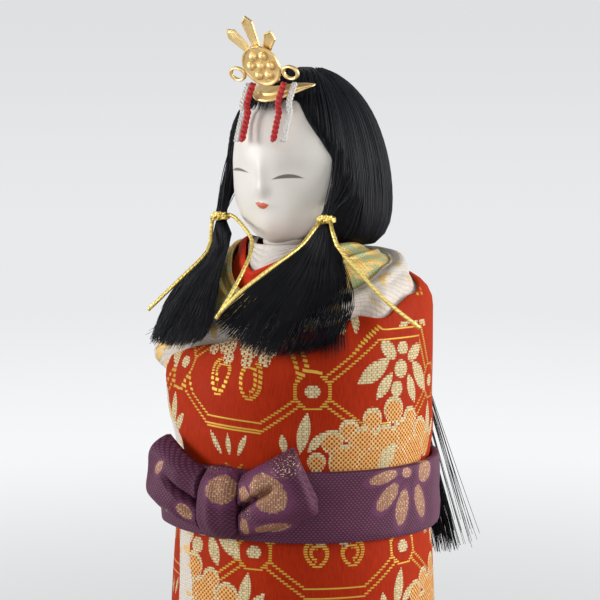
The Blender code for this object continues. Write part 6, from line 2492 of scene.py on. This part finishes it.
@dataclass
class Crown:
    """Gilt plate with bosses, three blades, a crescent band, wire eyes and cords."""

    tilt: float = 30.0
    plate: float = 0.0008
    over_band: float = 0.0003
    before_band: float = 0.0013
    half_width: float = 0.0056
    half_height: float = 0.0055
    boss: float = 0.0010
    blade_plate: float = 0.0006
    blade_ways: Table = ((-38.0, 0.0126), (-4.0, 0.0134), (32.0, 0.0106))
    root_width: float = 0.0009
    tip_width: float = 0.0017
    eye_radius: float = 0.0021
    eye_wire: float = 0.0005
    eye_sink: float = 0.00035
    band_half: float = 0.0090
    band_tall: float = 0.0042
    band_plate: float = 0.0009
    band_low: float = 0.1787
    band_rise: float = 0.0040
    band_middle: float = 0.181
    cord_width: float = 0.0019
    cord_drop: float = 0.0145
    cord_above: float = 0.0048
    cord_bend: float = 0.0032
    cord_slant: float = 0.62
    cord_drift: float = 0.0012
    cord_steps: int = 60
    red_aside: float = 0.0048
    white_aside: float = 0.0072

    def band_reach(self) -> float:
        """How far the band stands out from the hair."""
        return SEAM_GAP + self.band_plate * 1.5

    def centre(self) -> Vector:
        """Middle of the plate."""
        turn = math.radians(self.tilt)
        top = self.band_low + self.band_tall
        y = CAP.front(0.0, top) - self.band_reach() - self.before_band
        return Vector((0, y - self.half_height * math.sin(turn),
                       top + self.over_band + self.half_height * math.cos(turn)))

    def stand_up(self, made: bpy.types.Object) -> bpy.types.Object:
        """Turn a piece that was made lying down into the crown's own plane."""
        made.rotation_euler = (math.radians(90 + self.tilt), 0, 0)
        made.location = self.centre()
        return settle(made)

    def flat_part(self, outline: Sequence[tuple[float, float]], low: float, high: float,
                  border: float) -> bpy.types.Object:
        """Cut a plate with a raised border, lying down.

        Args:
            outline: its corners, counter-clockwise.
            low: depth of its back.
            high: depth of its face.
            border: width of the raised border.

        Returns:
            The plate.
        """
        deselect_all()
        bpy.ops.mesh.primitive_circle_add(vertices=len(outline), radius=1, fill_type="NGON")
        made = bpy.context.object
        for vertex, (x, y) in zip(made.data.vertices, outline):
            vertex.co = (x, y, low)
        bpy.ops.object.mode_set(mode="EDIT")
        bpy.ops.mesh.select_all(action="SELECT")
        bpy.ops.mesh.normals_make_consistent(inside=False)
        bpy.ops.mesh.extrude_region_move(
            TRANSFORM_OT_translate={"value": (0, 0, high - low)})
        bpy.ops.mesh.inset(thickness=border, depth=0)
        bpy.ops.mesh.inset(thickness=border * 0.35, depth=-(high - low) * 0.35)
        bpy.ops.mesh.select_all(action="SELECT")
        bpy.ops.mesh.normals_make_consistent(inside=False)
        bpy.ops.object.mode_set(mode="OBJECT")
        edge = made.modifiers.new("edge", "BEVEL")
        edge.width = border * 0.22
        edge.segments = 2
        edge.limit_method = "ANGLE"
        edge.angle_limit = math.radians(40)
        return settle(made)

    def joined(self, name: str, parts: Sequence[bpy.types.Object]) -> bpy.types.Object:
        """Join parts into one piece and stand it up in the crown's plane."""
        deselect_all()
        for part in parts:
            part.select_set(True)
        bpy.context.view_layer.objects.active = parts[0]
        if len(parts) > 1:
            bpy.ops.object.join()
        made = bpy.context.object
        made.name = name
        made.data.name = name
        self.stand_up(made)
        select_only(made)
        bpy.ops.object.shade_smooth_by_angle(angle=math.radians(38))
        return made

    def disc(self) -> None:
        """Round plate with a beaded look of seven bosses."""
        outline = [(self.half_width * math.cos(math.tau * step / 64),
                    self.half_height * math.sin(math.tau * step / 64)) for step in range(64)]
        parts = [self.flat_part(outline, 0.0, self.plate, self.boss * 0.45)]
        spread = self.half_width * 0.54
        places = [(0.0, 0.0)] + [(spread * math.cos(math.tau * step / 6),
                                  spread * math.sin(math.tau * step / 6))
                                 for step in range(6)]
        for x, y in places:
            deselect_all()
            bpy.ops.mesh.primitive_uv_sphere_add(
                segments=24, ring_count=14, radius=self.boss * 1.14,
                location=(x, y, self.plate * 0.62))
            ball = bpy.context.object
            ball.scale = (1.05, 1.05, 0.92)
            parts.append(settle(ball))
            deselect_all()
            bpy.ops.mesh.primitive_torus_add(
                major_segments=32, minor_segments=8, major_radius=self.boss * 1.12,
                minor_radius=self.boss * 0.16, location=(x, y, self.plate * 0.72))
            parts.append(settle(bpy.context.object))
        dress(self.joined("crown_plate", parts), GILT, "crown", "crown_disc")

    def blades(self) -> None:
        """Three tapering blades with raised edges, from behind the plate."""
        parts = []
        start = self.half_height * 0.55
        back = -SEAM_GAP - self.blade_plate
        for turn, reach in self.blade_ways:
            corners = ((-self.root_width, start), (self.root_width, start),
                       (self.tip_width, reach - self.tip_width), (0.0, reach),
                       (-self.tip_width, reach - self.tip_width))
            side = math.radians(turn)
            outline = [(x * math.cos(side) + y * math.sin(side),
                        -x * math.sin(side) + y * math.cos(side)) for x, y in corners]
            parts.append(self.flat_part(outline, back, -SEAM_GAP, self.root_width * 0.42))
        hub = [(self.half_height * 0.70 * math.cos(math.tau * step / 40),
                self.half_height * 0.70 * math.sin(math.tau * step / 40)) for step in range(40)]
        parts.append(self.flat_part(hub, back, -SEAM_GAP, self.root_width * 0.42))
        dress(self.joined("crown_blade_fan", parts), GILT, "crown", "crown_blades")

    def eye(self, hand: Turn) -> None:
        """Wire eye at one side of the plate."""
        x = hand.value * (self.half_width + SEAM_GAP + self.eye_wire + self.eye_radius)
        deselect_all()
        bpy.ops.mesh.primitive_torus_add(
            major_segments=48, minor_segments=12, major_radius=self.eye_radius,
            minor_radius=self.eye_wire, location=(x, -self.eye_radius, self.plate / 2))
        ring = bpy.context.object
        ring.scale = (1.0, 0.80, 1.1)
        ring.location.x -= hand.value * self.eye_sink
        settle(ring)
        side = hand.name.lower()
        dress(self.joined(f"crown_eye_{side}", [ring]), GILT, "crown", f"crown_loop_{side}")

    def band(self) -> None:
        """Crescent on the brow, in two steps like a boat's side."""

        def place(across: float, up: float) -> Vector:
            """Point round the band's section."""
            side = 2 * across - 1
            x = self.band_half * side
            low = self.band_low + self.band_rise * side ** 2
            tall = self.band_tall * mix(1.0, 0.16, abs(side) ** 3)
            turn = math.tau * up
            level = 0.5 - 0.5 * math.cos(turn)
            z = low + tall * level
            back = CAP.front(x, z) - SEAM_GAP
            if math.sin(turn) <= 0:
                return Vector((x, back, z))
            step = 0.45 * hump(level, 0.16, 0.12) + 0.30 * smooth((level - 0.42) / 0.12)
            groove = -0.35 * hump(level, 0.40, 0.06)
            depth = self.band_plate * (0.75 + step + groove) * math.sin(turn) ** 0.35
            depth += 0.0005 * side ** 2
            return Vector((x, back - depth, z))

        made = grid_piece("crown_crescent", 96, 64, place, lambda across, up: (across, up),
                          inside=Vector((0, 0, self.band_middle)))
        with editing(made) as form:
            bmesh.ops.remove_doubles(form, verts=form.verts, dist=MERGE)
            close_up(form)
            bmesh.ops.recalc_face_normals(form, faces=form.faces)
        dress(made, GILT, "crown", "crown_band")

    def cord(self, name: str, node: str, x: float, finish: Finish, flat: bool) -> None:
        """Short cord over the forehead.

        Args:
            name: the piece's name.
            node: the solid it stands for.
            x: how far to the side it hangs.
            finish: its silk.
            flat: whether it is a flat braid or two twisted plies.
        """
        radius = self.cord_width / 2
        top = self.band_low + self.cord_above
        spine = []
        for step in range(self.cord_steps + 1):
            share = step / self.cord_steps
            z = top - self.cord_drop * share
            laid = CAP.front(x, z) - radius * 0.8 - SEAM_GAP
            hung = (CAP.front(x, self.band_low) - self.band_reach() - radius - SEAM_GAP
                    + self.cord_slant * (z - self.band_low))
            y = mix(laid, hung, smooth((z - self.band_low + self.cord_bend) / self.cord_bend))
            spine.append(Vector((x + self.cord_drift * smooth(share), y, z)))
        bundle = Bundle(name, sides=8)
        plies = 3 if flat else 2
        ply = radius * (0.36 if flat else 0.52)
        for step in range(plies):
            path = []
            for place, point in enumerate(spine):
                turn = math.tau * (place / self.cord_steps * (5.5 if flat else 6.0)
                                   + step / plies)
                if flat:
                    shift = Vector((math.sin(turn) * radius * 0.62,
                                    math.sin(2 * turn) * radius * 0.22, 0))
                else:
                    shift = Vector((math.cos(turn), math.sin(turn) * 0.7, 0)) * radius * 0.46
                path.append(point + shift)
            bundle.add(path, tapering(ply), 0.31 * step)
        dress(bundle.build(), finish, "crown", node)

    def build(self) -> None:
        """Make the whole crown."""
        self.disc()
        self.blades()
        self.band()
        for hand in Turn:
            self.eye(hand)
            side = hand.name.lower()
            self.cord(f"forehead_cord_red_{side}", f"crown_cord_red_{side}",
                      hand.value * self.red_aside, RED_BRAID, flat=False)
            self.cord(f"forehead_cord_white_{side}", f"crown_cord_white_{side}",
                      hand.value * self.white_aside, WHITE_BRAID, flat=True)


def carry_over() -> None:
    """Give the solids that stay their finishes."""
    for name, finish in (("body_core", PALE_WOOD), ("base_disc", PALE_WOOD),
                         ("neck_stick", PALE_WOOD), ("crown_post", GILT)):
        node = frame["nodes"][name]
        node.data.materials.clear()
        node.data.materials.append(finish.material())


def main() -> None:
    """Build the doll, piece by piece."""
    logging.basicConfig(level=logging.INFO, format="%(message)s")
    parts = (
        Studio(), GoldTies(), Robes(), GREEN_COLLAR, GREEN_FOLD, RED_COLLAR, NeckWrap(), SASH,
        Head(), CombedCap(), SideLock(Turn.RIGHT, lean=-37.0),
        SideLock(Turn.LEFT, lean=23.0, inner_lift=0.0064), Tail(), Crown())
    for part in parts:
        part.build()
        log.info("built %s", type(part).__name__)
    carry_over()
    sizes = {"cad": CAD_BOX, "visual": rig.bounds()}
    with open("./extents.json", "w", encoding="utf-8") as report:
        json.dump({key: [[float(x) for x in corner] for corner in box]
                   for key, box in sizes.items()}, report)


if __name__ == "__main__":
    main()
